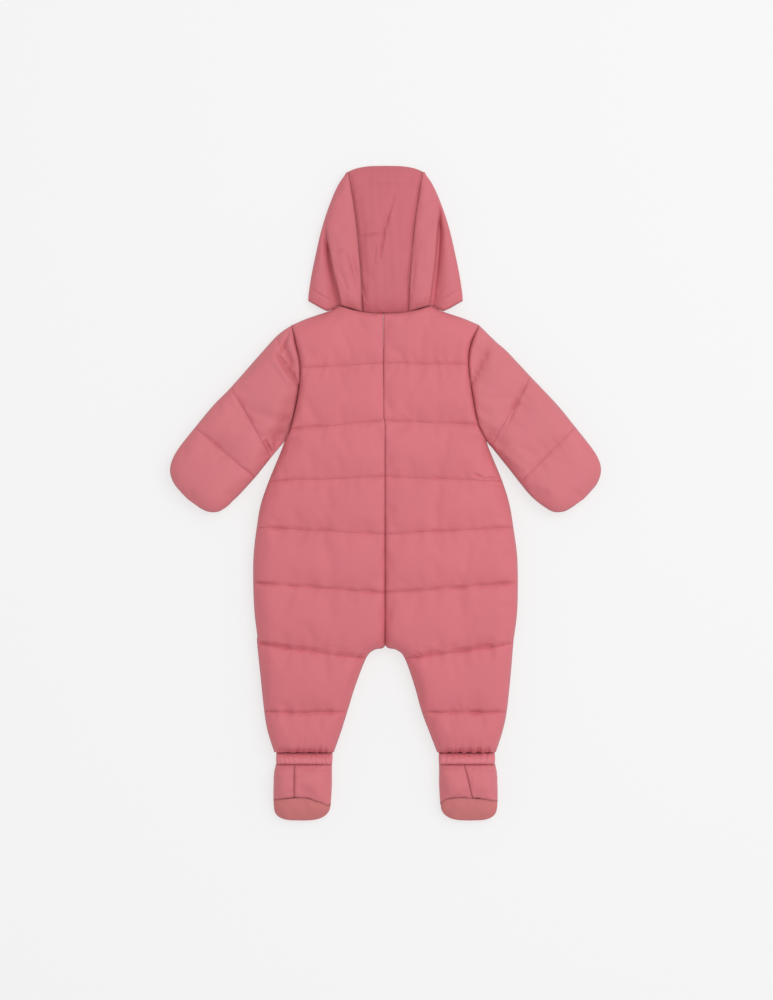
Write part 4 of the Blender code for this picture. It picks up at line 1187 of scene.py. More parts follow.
@dataclass
class AnkleBand:
    """Gathered elastic band between the leg and the bootie."""

    side: Side
    steps: int = 20
    gather: float = 5.6
    depth: float = 0.85
    ruffle: float = 0.8        # how unevenly its upper edge is gathered

    def build(self, material: bpy.types.Material) -> None:
        """Makes the band's piece."""
        table = np.array(BAND_ROWS)
        rows = spline(table, np.linspace(0.0, len(table) - 1, self.steps))
        turn = 2 * pi * np.arange(BAND_SIDES) / BAND_SIDES
        away = np.sign(np.cos(turn)) * np.abs(np.cos(turn)) ** BAND_CORNER
        up = np.sign(np.sin(turn)) * np.abs(np.sin(turn)) ** BAND_CORNER
        outer, inner = [], []
        for number, (y, half, height) in enumerate(rows):
            along = number / (self.steps - 1)
            x = half * away
            bulge = sin(pi * along)
            wave = ripple(x + 300.0 * (up < 0) + 3.0 * along, self.gather, 61 + self.side.value)
            fine = ripple(x * 0.3 + 40.0 * along + 200.0 * (up < 0), 5.0, 67 + self.side.value)
            fall = self.depth * (0.5 + 0.5 * bulge) * (wave - 0.6) + 0.35 * bulge * fine
            middle = height / 2 + 0.5
            z = middle + (height / 2 + fall) * up
            ruffles = ripple(x, 7.0, 451 + self.side.value) - 0.4
            sway = 6.0 * along * exp(-along / 0.16) * self.ruffle * ruffles
            outer.append(np.stack((ANKLE_X + x + 0.4 * fall * away, y + np.minimum(sway, 0.15 + 20.0 * along),
                                   np.maximum(z, 0.5)), -1))
            lining = (ANKLE_X + (half - ANKLE_WALL) * away, np.full_like(x, y), middle + ANKLE_SLIT * up)
            inner.append(np.stack(lining, -1))
        outer, inner = np.array(outer), np.array(inner)
        # Painted shade: a mask that darkens the colour at the band's upper and lower edges, where it meets
        # the leg and the bootie.
        marks = np.repeat(np.abs(np.cos(pi * np.linspace(0, 1, self.steps)))[:, None] ** 8, BAND_SIDES, 1)
        made = closed_wall(f"ankle_elastic_{self.side.word}", outer, inner, self.side.value, True, marks)
        dress(made, material, SUIT, "gathered_band", f"ankle_band_{self.side.word}")


BOOT_ROWS = (
    # level, inner and outer outline, top, floor
    (-339.3, 67.2, 137.2, 23.6, 1.0), (-342.3, 67.2, 138.2, 26.0, 1.0), (-345.3, 67.1, 138.8, 27.8, 1.0),
    (-345.8, 67.1, 138.9, 28.0, 4.6), (-360.0, 67.1, 140.2, 31.0, 4.6), (-373.0, 67.9, 140.6, 30.0, 4.6),
    (-378.5, 68.4, 140.5, 28.4, 4.6), (-381.0, 68.6, 140.4, 26.8, 4.6),
)
BOOT_ROUND = 24.0
BOOT_POWER = 2.6
BOOT_CELL = 2.0
HEEL_X = {Side.LEFT: (113.6, 113.9), Side.RIGHT: (98.6, 108.6)}   # heel seam at the band and at the sole
# Seam between upper and sole: how far below its level it runs across the foot.
SOLE_SEAM = {
    Side.LEFT: ((67.0, -10.5), (73.0, -9.0), (80.0, -5.0), (88.0, -2.5), (97.0, 1.0), (112.0, 1.5),
                (122.0, 0.5), (136.0, -1.5), (141.0, -2.0)),
    Side.RIGHT: ((66.0, -14.0), (70.0, -6.0), (75.0, -1.0), (84.0, 1.2), (99.0, 1.6), (106.0, 0.2),
                 (114.0, 1.0), (130.0, -2.0), (141.0, -4.0)),
}


def seam_shift(side: Side, x: np.ndarray) -> np.ndarray:
    """How far the sole seam lies from its level across the foot."""
    table = np.array(SOLE_SEAM[side])
    return np.interp(x, table[:, 0], table[:, 1])


@dataclass
class BootQuarter:
    """Quarter of a bootie's upper, on one side of the heel seam."""

    side: Side
    inner_side: bool
    creases: tuple[Crease, ...]

    def build(self, material: bpy.types.Material) -> None:
        """Makes the quarter's piece."""
        outer, inner = [], []
        turns = np.linspace(0.0, pi / 2, 9)[:-1]
        for y, x_in, x_out, top, floor in BOOT_ROWS:
            edge, way = (x_in, 1.0) if self.inner_side else (x_out, -1.0)
            down = (BOOT_ROWS[0][0] - y) / (BOOT_ROWS[0][0] - BOOT_ROWS[-1][0])
            first, last = HEEL_X[self.side]
            heel = first + (last - first) * down - way * TOUCH / 2
            inset = BOOT_ROUND * (1.0 - np.cos(turns) ** (2 / BOOT_POWER))
            height = floor + (top - floor) * np.sin(turns) ** (2 / BOOT_POWER)
            middle = np.linspace(BOOT_ROUND, abs(heel - edge), 7)
            groove = 1.5 * (1.0 - rise(abs(heel - edge) - middle, 4.0))
            inset = np.concatenate((inset, middle))
            height = np.concatenate((height, top - groove))
            x = edge + way * inset
            level = y + seam_shift(self.side, x) * down ** 1.5
            outer.append(np.stack((x, level, height), -1))
            x_floor = np.where(inset < 1.0, edge + way * 1.0, x)
            inner.append(np.stack((x_floor, level, np.full_like(x, floor)), -1))
        outer, inner = fine_pair(np.array(outer), np.array(inner), BOOT_CELL)
        x, y, z = (outer[..., k] for k in range(3))
        free = np.zeros(outer.shape[:2], dtype=bool)
        free[1:-1, 6:-1] = True
        seed = 81 + 2 * self.side.value + self.inner_side
        ends = np.exp(-(y[0, 0] - y) / 6.0) + 0.8 * np.exp(-(y - y[-1, 0]) / 5.0)
        puff = ends * ripple(x, 7.5, seed) * 0.5 + 0.5 * drift(outer, 26.0, seed)
        puff = puff - 0.9 * np.exp((y[-1:] - y) / 2.0)
        held = np.clip((outer[..., 2] - inner[..., 2] - 8.0) / 8.0, 0.0, 1.0)
        outer[..., 2] = z + held * (puff - crease_depth(outer, self.creases))
        outer = settle(outer, ~free, Air(pressure=3.0, ease=0.03, frames=14, reach=2.0))
        outer[..., 2] = np.clip(outer[..., 2], inner[..., 2], 33.5)
        outer, inner = refined(outer), refined(inner)
        outer[..., 2] = np.maximum(outer[..., 2], inner[..., 2])
        # Painted shade: a mask that darkens the colour along the heel seam and at both ends of the quarter.
        marks = bell(outer[..., 0] - outer[:, -1:, 0], 1.5)
        for end in (outer[-1:], outer[:1]):
            marks = np.maximum(marks, bell(outer[..., 1] - end[..., 1], 1.5))
        part = "inner" if self.inner_side else "outer"
        name = f"bootie_{part}_quarter_{self.side.word}"
        made = closed_wall(name, outer, inner, self.side.value, painted_shade_at_seams=marks)
        dress(made, material, SUIT, "boot_upper", f"boot_quarter_{part}_{self.side.word}")


SOLE_Y = -381.3
SOLE_X = 104.5
SOLE_HALF = 35.8
SOLE_DEPTH = 28.7
SOLE_LEAST = 5.0
SOLE_POWER = 3.4
SOLE_FLOOR = 4.3
SOLE_LIP = 2.5
TOE_Y = -346.2
SOLE_ACROSS = (-1.0, -0.97, -0.92, -0.83, -0.7, -0.5, -0.17, 0.17, 0.5, 0.7, 0.83, 0.92, 0.97, 1.0)
SOLE_STOPS = ((0.0, 1.0, 1.0), (0.4, 0.92, 0.75), (0.76, 0.7, 0.5), (1.0, 0.4, 0.25), (0.93, 0.13, 0.1),
              (0.68, 0.0, 0.0))


@dataclass
class Sole:
    """Sole of a bootie, which rounds the end of the foot and lies under it."""

    side: Side

    def build(self, material: bpy.types.Material) -> None:
        """Makes the sole's piece."""
        last = BOOT_ROWS[-1]
        outer, inner = [], []
        for across in SOLE_ACROSS:
            x = SOLE_X + across * SOLE_HALF
            power = SOLE_POWER if across > 0.0 else 2.8
            roundness = (1.0 - abs(across) ** power) ** (1.0 / power)
            depth = SOLE_LEAST + (SOLE_DEPTH - SOLE_LEAST) * roundness
            inside = min(max(x, last[1]), last[2])
            away = min(inside - last[1], last[2] - inside)
            top = 11.0 + 15.0 * float(rise(np.array(away), 22.0))
            lip = top - SOLE_LIP
            line = [(x, SOLE_Y - depth * out, top * height) for out, height, _ in SOLE_STOPS]
            lining = [(x, SOLE_Y, SOLE_FLOOR + (lip - SOLE_FLOOR) * share) for _, _, share in SOLE_STOPS]
            for step in (8.0, 25.0):
                line.append((x, SOLE_Y + step, 0.0))
                lining.append((x, SOLE_Y + step, SOLE_FLOOR))
            down = float(seam_shift(self.side, np.array(inside)))
            line[:4] = [(x, y + down * share, z) for (x, y, z), share in zip(line[:4], (1.0, 0.6, 0.3, 0.0))]
            toe = TOE_Y - 9.0 * abs(across) ** 4
            line.append((x, toe, 1.0))
            lining.append((x, toe, SOLE_FLOOR - 0.4))
            outer.append(line)
            inner.append(lining)
        outer, inner = fine_pair(np.array(outer), np.array(inner), BOOT_CELL)
        shown = np.clip(outer[..., 2] / 12.0, 0.0, 1.0) * np.clip((SOLE_Y - outer[..., 1]) / 4.0, 0.0, 1.0)
        outer[..., 2] += shown * 0.5 * drift(outer, 17.0, 90 + self.side.value)
        outer[..., 2] += shown * 0.5 * ripple(outer[..., 0], 8.0, 93) * np.exp((outer[..., 1] - SOLE_Y) / 5.0)
        outer[..., 2] = np.maximum(outer[..., 2], 0.0)
        outer, inner = refined(outer), refined(inner)
        outer[..., 2] = np.maximum(outer[..., 2], 0.0)
        # Painted shade: the mask darkens the colour along the sole's seam to the upper.
        made = closed_wall(f"bootie_sole_{self.side.word}", outer, inner, self.side.value,
                           painted_shade_at_seams=bell(outer[..., 1] - outer[:, :1, 1], 1.3) * (outer[..., 2] > 6.0))
        dress(made, material, SUIT, "sole_fabric", f"boot_sole_{self.side.word}")


# ---------------------------------------------------------------- zip

def place_mm(*values: float) -> tuple[float, ...]:
    """Table millimetres as metres in the frame."""
    return tuple(value * MM for value in values)


def block(name: str, low: Sequence[float], high: Sequence[float]) -> bpy.types.Object:
    """Adds a box between two corners given in millimetres and leaves it selected alone."""
    bpy.ops.object.select_all(action="DESELECT")
    middle = place_mm(*((a + b) / 2 for a, b in zip(low, high)))
    bpy.ops.mesh.primitive_cube_add(size=1.0, location=middle)
    made = bpy.context.active_object
    made.name = name
    made.data.name = name
    made.scale = place_mm(*(b - a for a, b in zip(low, high)))
    bpy.ops.object.transform_apply(location=True, rotation=True, scale=True)
    return made


def cut(axis: int, place: float) -> None:
    """Cuts the object in edit mode across an axis, at a place given in millimetres."""
    normal = [0.0, 0.0, 0.0]
    normal[axis] = 1.0
    bpy.ops.mesh.select_all(action="SELECT")
    point = tuple(place * MM * part for part in normal)
    bpy.ops.mesh.bisect(plane_co=point, plane_no=normal)


def pick(made: bpy.types.Object, kind: str, test: Callable[[Vector, Vector], bool]) -> None:
    """Selects what passes a test in edit mode.

    Args:
        made: the object in edit mode.
        kind: "FACE", "EDGE" or "VERT".
        test: takes the middle, in millimetres, and the normal (an edge's direction).
    """
    bpy.ops.mesh.select_all(action="DESELECT")
    bpy.ops.mesh.select_mode(type=kind)
    work = bmesh.from_edit_mesh(made.data)
    work.normal_update()
    if kind == "FACE":
        found = [(face, face.calc_center_median(), face.normal) for face in work.faces]
    elif kind == "EDGE":
        found = [(edge, (edge.verts[0].co + edge.verts[1].co) / 2,
                  (edge.verts[0].co - edge.verts[1].co).normalized()) for edge in work.edges]
    else:
        found = [(vert, vert.co, vert.normal) for vert in work.verts]
    for item, middle, normal in found:
        item.select_set(test(middle / MM, normal))
    work.select_flush_mode()
    bmesh.update_edit_mesh(made.data)


def soften(made: bpy.types.Object, width: float, segments: int = 2) -> None:
    """Rounds an object's edges and shades it smooth up to its sharp ones."""
    bpy.ops.object.select_all(action="DESELECT")
    made.select_set(True)
    bpy.context.view_layer.objects.active = made
    bevel = made.modifiers.new("edges", "BEVEL")
    bevel.width = width * MM
    bevel.segments = segments
    bevel.limit_method = "ANGLE"
    bevel.angle_limit = radians(40)
    bpy.ops.object.modifier_apply(modifier=bevel.name)
    bpy.ops.object.shade_smooth_by_angle(angle=radians(35))


@dataclass
class Zip:
    """Front zip, closed: tape, two rows of moulded teeth, slider and pull tab."""

    foot_y: float = ZIP_FOOT_Y
    tape_top_y: float = 181.5
    tape_half: float = 4.7
    tape_low: float = 8.0
    tape_high: float = 9.0
    chain_top_y: float = 178.0
    chain_half: float = 2.2
    chain_low: float = 5.6
    chain_high: float = 7.7
    pitch: float = 2.4
    slider_low: tuple[float, float, float] = (-4.0, 171.0, 3.6)
    slider_high: tuple[float, float, float] = (4.0, 181.0, 5.3)
    flange_in: float = 2.6
    flange_high: float = 7.7
    bridge_low: tuple[float, float, float] = (-1.0, 172.5, 0.6)
    bridge_high: tuple[float, float, float] = (1.0, 179.5, 1.5)
    bridge_leg: float = 1.4
    tab_low: tuple[float, float, float] = (-4.0, 152.0, 1.9)
    tab_high: tuple[float, float, float] = (4.0, 176.6, 3.1)
    eye_half: float = 1.7
    eye_y: tuple[float, float] = (170.5, 175.4)

    def build(self, tape: bpy.types.Material, teeth: bpy.types.Material, metal: bpy.types.Material) -> None:
        """Makes every piece of the zip."""
        self.build_tape(tape)
        self.build_teeth(teeth)
        self.build_slider(metal)
        self.build_pull(metal)

    def build_tape(self, material: bpy.types.Material) -> None:
        """Makes the woven tape behind the teeth, with a fine rib along each edge."""
        x = np.linspace(-self.tape_half, self.tape_half, 41)
        y = np.linspace(self.foot_y, self.tape_top_y, 120)
        grid_x, grid_y = np.meshgrid(x, y)
        rib = 0.12 * np.cos(2 * pi * grid_x / 1.2) + 0.25 * bell(np.abs(grid_x) - 3.9, 0.5)
        lower = np.stack((grid_x, grid_y, self.tape_low + 0.35 - rib), -1)
        upper = np.stack((grid_x, grid_y, np.full_like(grid_x, self.tape_high)), -1)
        made = closed_wall("zip_tape_woven", lower, upper, 1)
        dress(made, material, SUIT, "zip_tape_fabric", "zip_tape")

    def build_teeth(self, material: bpy.types.Material) -> None:
        """Makes both rows of teeth, which mesh along the middle."""
        count = int((self.chain_top_y - self.foot_y - 3.5) / self.pitch)
        for way, word in ((-1, "left"), (1, "right")):
            start = self.foot_y + 2.0 + (0.5 * self.pitch if way > 0 else 0.0)
            wide = (way * self.chain_half, start, self.chain_low)
            tip = (-way * 0.7, start + 0.5 * self.pitch - 0.12, self.chain_high)
            tooth = block(f"zip_teeth_{word}", np.minimum(wide, tip), np.maximum(wide, tip))
            bpy.ops.object.mode_set(mode="EDIT")
            cut(0, way * 0.9)
            middle = (start + 0.25 * self.pitch) * MM
            pick(tooth, "VERT", lambda point, normal: abs(point.x - way * 0.9) < 0.01)
            centre = (way * 0.9 * MM, middle, (self.chain_low + self.chain_high) / 2 * MM)
            bpy.ops.transform.resize(value=(1.0, 0.6, 0.8), center_override=centre)
            pick(tooth, "VERT", lambda point, normal: way * point.x > 2.0)
            bpy.ops.transform.resize(value=(1.0, 1.35, 1.0), center_override=centre)
            bpy.ops.object.mode_set(mode="OBJECT")
            soften(tooth, 0.16, 1)
            row = tooth.modifiers.new("row", "ARRAY")
            row.use_relative_offset = False
            row.use_constant_offset = True
            row.constant_offset_displace = (0.0, self.pitch * MM, 0.0)
            row.count = count
            bpy.ops.object.modifier_apply(modifier=row.name)
            dress(tooth, material, SUIT, "zip_teeth", "zip_chain")

    def build_slider(self, material: bpy.types.Material) -> None:
        """Makes the slider: plate, flanges round the chain, and the bridge for the tab."""
        slider = block("zip_slider_body", self.slider_low, self.slider_high)
        bpy.ops.object.mode_set(mode="EDIT")
        cut(0, self.flange_in)
        cut(0, -self.flange_in)
        cut(1, 174.0)
        pick(slider, "FACE", lambda point, normal: normal.z > 0.9 and abs(point.x) > self.flange_in)
        rise_by = (self.flange_high - self.slider_high[2]) * MM
        bpy.ops.mesh.extrude_region_move(TRANSFORM_OT_translate={"value": (0.0, 0.0, rise_by)})
        pick(slider, "VERT", lambda point, normal: point.y < self.slider_low[1] + 0.5 and abs(point.x) > 3.0)
        centre = place_mm(0.0, self.slider_low[1], self.slider_low[2])
        bpy.ops.transform.resize(value=(0.86, 1.0, 1.0), center_override=centre)
        pick(slider, "FACE", lambda point, normal: normal.z < -0.9)
        bpy.ops.mesh.inset(thickness=0.7 * MM, depth=0.0)
        bpy.ops.object.mode_set(mode="OBJECT")
        soften(slider, 0.3, 3)
        bridge = block("zip_bridge", self.bridge_low, self.bridge_high)
        start, end = self.bridge_low[1] + self.bridge_leg, self.bridge_high[1] - self.bridge_leg
        bpy.ops.object.mode_set(mode="EDIT")
        cut(1, start)
        cut(1, end)
        pick(bridge, "FACE", lambda point, normal: normal.z > 0.9 and not start < point.y < end)
        root = (self.slider_low[2] + 0.5 - self.bridge_high[2]) * MM
        bpy.ops.mesh.extrude_region_move(TRANSFORM_OT_translate={"value": (0.0, 0.0, root)})
        bpy.ops.object.mode_set(mode="OBJECT")
        soften(bridge, 0.28, 3)
        bpy.ops.object.select_all(action="DESELECT")
        bridge.select_set(True)
        slider.select_set(True)
        bpy.context.view_layer.objects.active = slider
        bpy.ops.object.join()
        dress(slider, material, SUIT, "zip_metal", "zip_slider")

    def build_pull(self, material: bpy.types.Material) -> None:
        """Makes the pull tab, with the eye that rides on the bridge and a sunk face."""
        tab = block("zip_pull_tab", self.tab_low, self.tab_high)
        bpy.ops.object.mode_set(mode="EDIT")
        for place in (-self.eye_half, self.eye_half):
            cut(0, place)
        for place in (*self.eye_y, self.eye_y[0] - 2.0):
            cut(1, place)
        low, high = self.eye_y
        pick(tab, "FACE", lambda point, normal: abs(normal.z) > 0.9 and low < point.y < high
             and abs(point.x) < self.eye_half)
        bpy.ops.mesh.bridge_edge_loops()
        pick(tab, "EDGE", lambda point, along: abs(along.z) > 0.9 and abs(point.x) > 3.9
             and not self.tab_low[1] + 1.0 < point.y < self.tab_high[1] - 1.0)
        bpy.ops.mesh.bevel(offset=1.6 * MM, segments=5, affect="EDGES")
        for way in (-1, 1):
            pick(tab, "FACE", lambda point, normal: way * normal.z > 0.9 and point.y < low - 2.0)
            bpy.ops.mesh.inset(thickness=1.0 * MM, depth=-0.18 * MM)
        bpy.ops.object.mode_set(mode="OBJECT")
        soften(tab, 0.14, 2)
        dress(tab, material, PULL, "zip_metal", "zip_pull")


# ---------------------------------------------------------------- finishes

def new_group(name: str, inputs: dict[str, float], outputs: Sequence[str]) -> bpy.types.NodeTree:
    """Starts a shader node group with number inputs and outputs."""
    group = bpy.data.node_groups.new(name, "ShaderNodeTree")
    for label, value in inputs.items():
        socket = group.interface.new_socket(name=label, in_out="INPUT", socket_type="NodeSocketFloat")
        socket.default_value = value
    for label in outputs:
        group.interface.new_socket(name=label, in_out="OUTPUT", socket_type="NodeSocketFloat")
    group.nodes.new("NodeGroupInput")
    group.nodes.new("NodeGroupOutput")
    return group


def math_node(tree: bpy.types.NodeTree, operation: str, *values: object) -> bpy.types.NodeSocket:
    """Adds a Math node, fed by sockets or numbers, and returns its output."""
    node = tree.nodes.new("ShaderNodeMath")
    node.operation = operation
    for number, value in enumerate(values):
        if isinstance(value, bpy.types.NodeSocket):
            tree.links.new(value, node.inputs[number])
        else:
            node.inputs[number].default_value = value
    return node.outputs[0]


def group_ends(group: bpy.types.NodeTree) -> tuple[bpy.types.Node, bpy.types.Node]:
    """Input and output nodes of a group."""
    return group.nodes["Group Input"], group.nodes["Group Output"]


def weave_group() -> bpy.types.NodeTree:
    """Plain weave: threads over and under each other, with a given number to the metre."""
    group = new_group("plain_weave", {"Threads": 2500.0}, ("Height",))
    given, result = group_ends(group)
    spot = group.nodes.new("ShaderNodeTexCoord")
    split = group.nodes.new("ShaderNodeSeparateXYZ")
    group.links.new(spot.outputs["Object"], split.inputs[0])
    turn = math_node(group, "MULTIPLY", given.outputs["Threads"], pi)
    waves = []
    for axis in ("X", "Y"):
        angle = math_node(group, "MULTIPLY", split.outputs[axis], turn)
        waves.append(math_node(group, "SINE", angle))
    over = math_node(group, "MULTIPLY", waves[0], waves[1])
    warp = math_node(group, "MULTIPLY", math_node(group, "ABSOLUTE", waves[0]), 0.35)
    height = math_node(group, "ADD", math_node(group, "MULTIPLY_ADD", over, 0.5, 0.5), warp)
    group.links.new(height, result.inputs["Height"])
    return group


def cloth_group() -> bpy.types.NodeTree:
    """Uneven colour and fine crinkles of light woven cloth."""
    group = new_group("cloth_unevenness", {"Blotches": 14.0, "Crinkles": 120.0}, ("Shade", "Crinkle"))
    given, result = group_ends(group)
    spot = group.nodes.new("ShaderNodeTexCoord")
    noises = []
    for label, detail, twist in (("Blotches", 3.0, 0.6), ("Crinkles", 2.0, 1.2)):
        noise = group.nodes.new("ShaderNodeTexNoise")
        noise.inputs["Detail"].default_value = detail
        noise.inputs["Distortion"].default_value = twist
        group.links.new(spot.outputs["Object"], noise.inputs["Vector"])
        group.links.new(given.outputs[label], noise.inputs["Scale"])
        noises.append(noise.outputs[0])
    group.links.new(noises[0], result.inputs["Shade"])
    group.links.new(noises[1], result.inputs["Crinkle"])
    return group


def painted_shade_group() -> bpy.types.NodeTree:
    """Painted shade mask: how close a spot is to a seam, quilt line or rim, from the piece's own attribute.
    """
    group = new_group("stitched_line", {"Narrow": 1.5}, ("Mask",))
    given, result = group_ends(group)
    mark = group.nodes.new("ShaderNodeAttribute")
    mark.attribute_name = "painted_shade_at_seams"
    mask = math_node(group, "POWER", mark.outputs["Fac"], given.outputs["Narrow"])
    group.links.new(mask, result.inputs["Mask"])
    return group


@dataclass(frozen=True)
class Cloth:
    """Finish of one cloth of the suit."""

    name: str
    colour: tuple[float, float, float]
    roughness: float = 0.55
    sheen: float = 0.05
    threads: float = 2500.0        # to the metre
    weave_depth: float = 0.00004
    crinkles: float = 120.0
    crinkle_depth: float = 0.0003
    unevenness: float = 0.06       # change of colour over the cloth
    painted_shade_strength: float = 0.26       # painted shade: darkening along seams, quilt lines and rims

    def build(self, groups: dict[str, bpy.types.NodeTree]) -> bpy.types.Material:
        """Makes the material.

        Args:
            groups: the shared node groups by name.

        Returns:
            The new material.
        """
        material = bpy.data.materials.new(self.name)
        material.use_nodes = True
        tree = material.node_tree
        shader = tree.nodes["Principled BSDF"]
        shader.inputs["Sheen Weight"].default_value = self.sheen
        shader.inputs["Sheen Roughness"].default_value = 0.45
        shader.inputs["Specular IOR Level"].default_value = 0.18
        uneven, weave, seam = (self.use(tree, groups[key]) for key in ("uneven", "weave", "seam"))
        weave.inputs["Threads"].default_value = self.threads
        uneven.inputs["Crinkles"].default_value = self.crinkles
        least = 1.0 - self.unevenness
        shade = math_node(tree, "MULTIPLY_ADD", uneven.outputs["Shade"], 2 * self.unevenness, least)
        # Painted shade: the colour is darkened by the mask along seams, quilt lines and rims.
        seams = math_node(tree, "MULTIPLY_ADD", seam.outputs["Mask"], -self.painted_shade_strength, 1.0)
        value = math_node(tree, "MULTIPLY", shade, seams)
        tint = tree.nodes.new("ShaderNodeHueSaturation")
        tint.inputs["Color"].default_value = (*self.colour, 1.0)
        tree.links.new(value, tint.inputs["Value"])
        tree.links.new(tint.outputs["Color"], shader.inputs["Base Color"])
        rough = math_node(tree, "MULTIPLY_ADD", uneven.outputs["Shade"], 0.16, self.roughness - 0.08)
        tree.links.new(rough, shader.inputs["Roughness"])
        folds = self.bump(tree, uneven.outputs["Crinkle"], self.crinkle_depth, None)
        threads = self.bump(tree, weave.outputs["Height"], self.weave_depth, folds)
        tree.links.new(threads, shader.inputs["Normal"])
        return material

    @staticmethod
    def use(tree: bpy.types.NodeTree, group: bpy.types.NodeTree) -> bpy.types.Node:
        """Places a shared group in a material."""
        node = tree.nodes.new("ShaderNodeGroup")
        node.node_tree = group
        return node

    @staticmethod
    def bump(tree: bpy.types.NodeTree, height: bpy.types.NodeSocket, depth: float,
             below: bpy.types.NodeSocket | None) -> bpy.types.NodeSocket:
        """Adds a Bump node of a given depth in metres, over another one where there is one."""
        node = tree.nodes.new("ShaderNodeBump")
        node.inputs["Strength"].default_value = 1.0
        node.inputs["Distance"].default_value = depth
        tree.links.new(height, node.inputs["Height"])
        if below is not None:
            tree.links.new(below, node.inputs["Normal"])
        return node.outputs["Normal"]


@dataclass(frozen=True)
class Hard:
    """Finish of a moulded or painted piece of the zip."""

    name: str
    colour: tuple[float, float, float]
    roughness: float
    metallic: float = 0.0
    coat: float = 0.0
    grain: float = 900.0
    grain_depth: float = 0.00004

    def build(self, groups: dict[str, bpy.types.NodeTree]) -> bpy.types.Material:
        """Makes the material from the shared groups."""
        material = bpy.data.materials.new(self.name)
        material.use_nodes = True
        tree = material.node_tree
        shader = tree.nodes["Principled BSDF"]
        shader.inputs["Metallic"].default_value = self.metallic
        shader.inputs["Coat Weight"].default_value = self.coat
        shader.inputs["Coat Roughness"].default_value = 0.2
        uneven = Cloth.use(tree, groups["uneven"])
        uneven.inputs["Blotches"].default_value = 160.0
        uneven.inputs["Crinkles"].default_value = self.grain
        tint = tree.nodes.new("ShaderNodeHueSaturation")
        tint.inputs["Color"].default_value = (*self.colour, 1.0)
        value = math_node(tree, "MULTIPLY_ADD", uneven.outputs["Shade"], 0.2, 0.9)
        tree.links.new(value, tint.inputs["Value"])
        tree.links.new(tint.outputs["Color"], shader.inputs["Base Color"])
        rough = math_node(tree, "MULTIPLY_ADD", uneven.outputs["Crinkle"], 0.2, self.roughness - 0.1)
        tree.links.new(rough, shader.inputs["Roughness"])
        normal = Cloth.bump(tree, uneven.outputs["Crinkle"], self.grain_depth, None)
        tree.links.new(normal, shader.inputs["Normal"])
        return material


FINISHES: dict[str, Cloth | Hard] = {
    "shell": Cloth("shell_nylon", (0.655, 0.170, 0.198)),
    "sleeve": Cloth("shell_nylon_sleeve", (0.645, 0.182, 0.207)),
    # Painted shade: the hood's side panels and centre strip are darker copies of the shell colour, standing
    # in for the shade the hood lies in.
    "hood_side": Cloth("shell_nylon_hood_side", (0.622, 0.167, 0.195)),
    "hood_strip": Cloth("shell_nylon_hood_strip", (0.582, 0.145, 0.173)),
    "boot": Cloth("shell_nylon_bootie", (0.648, 0.180, 0.204)),
    "band": Cloth("gathered_nylon", (0.710, 0.205, 0.238), crinkles=260.0, crinkle_depth=0.0008),
    "sole": Cloth("sole_nylon", (0.615, 0.187, 0.188), roughness=0.8, sheen=0.05, threads=1400.0,
                  weave_depth=0.00012, painted_shade_strength=0.3),
    "thread": Cloth("sewing_thread", (0.520, 0.125, 0.150), roughness=0.6, threads=4000.0,
                    weave_depth=0.00003, crinkles=400.0, crinkle_depth=0.0001),
    "tape": Cloth("zip_tape_weave", (0.560, 0.140, 0.170), roughness=0.75, threads=1100.0,
                  weave_depth=0.00015, crinkle_depth=0.0001),
    "teeth": Hard("zip_teeth_resin", (0.600, 0.160, 0.190), 0.4),
    "metal": Hard("zip_painted_metal", (0.600, 0.170, 0.200), 0.34, coat=0.4),
}


def dress(made: bpy.types.Object, material: bpy.types.Material, body: str, slot: str, *nodes: str) -> None:
    """Gives a piece its material and its body, and hides the CAD nodes it stands for."""
    made.data.materials.clear()
    made.data.materials.append(material)
    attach(made, body)
    if nodes:
        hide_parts(*nodes)
    LOG.info("%s: %d faces on %s", made.name, len(made.data.polygons), body)


# ---------------------------------------------------------------- the suit

LEFT_SLEEVE_CREASES = (
    Crease(119.0, 203.0, 130.5, 174.0, 2.0, 5.0),
    Crease(128.0, 192.0, 118.0, 156.0, 2.2, 4.0),
    Crease(137.0, 176.0, 104.0, 128.0, 2.3, 9.0),
    Crease(128.0, 184.0, 108.0, 142.0, 6.5, 3.6),
    Crease(143.0, 172.0, 116.0, 132.0, 3.6, -2.6),
    Crease(106.0, 132.0, 138.0, 40.0, 12.0, 11.5),
    Crease(150.0, 50.0, 116.0, 92.0, 12.0, 5.0),
    Crease(142.0, 49.0, 151.0, 66.0, 2.8, 7.0),
    Crease(136.0, 56.0, 139.0, 72.0, 2.4, 4.0),
    Crease(158.0, 36.0, 144.0, 54.0, 7.0, 4.0),
)
RIGHT_SLEEVE_CREASES = (
    Crease(134.0, 194.0, 106.0, 135.0, 2.0, 5.0),
    Crease(122.0, 188.0, 107.0, 148.0, 6.0, 3.4),
    Crease(150.0, 56.0, 118.0, 86.0, 9.0, 4.4),
    Crease(161.0, 104.0, 151.0, 84.0, 1.6, 2.4),
    Crease(168.0, 113.0, 157.0, 104.0, 1.5, 2.0),
    Crease(176.0, 142.0, 170.0, 128.0, 2.0, 1.6),
)
LEFT_BODY_CREASES = (
    Crease(27.0, -200.0, 38.0, -212.0, 2.2, 3.0),
    Crease(120.0, 86.0, 104.0, 90.0, 3.0, 1.2),
    Crease(150.0, -42.0, 120.0, -46.0, 1.8, 1.2),
    Crease(8.0, -128.0, 2.0, -185.0, 4.0, 1.4),
)
RIGHT_BODY_CREASES = (
    Crease(108.0, 24.0, 124.0, 17.5, 1.8, 3.2),
    Crease(124.0, 18.0, 142.0, 18.5, 1.8, 3.4),
    Crease(150.0, 8.0, 128.0, 12.0, 2.0, 1.6),
    Crease(7.0, -128.0, 1.5, -185.0, 4.0, 1.2),
    Crease(36.0, -196.0, 50.0, -208.0, 1.8, 1.4),
)
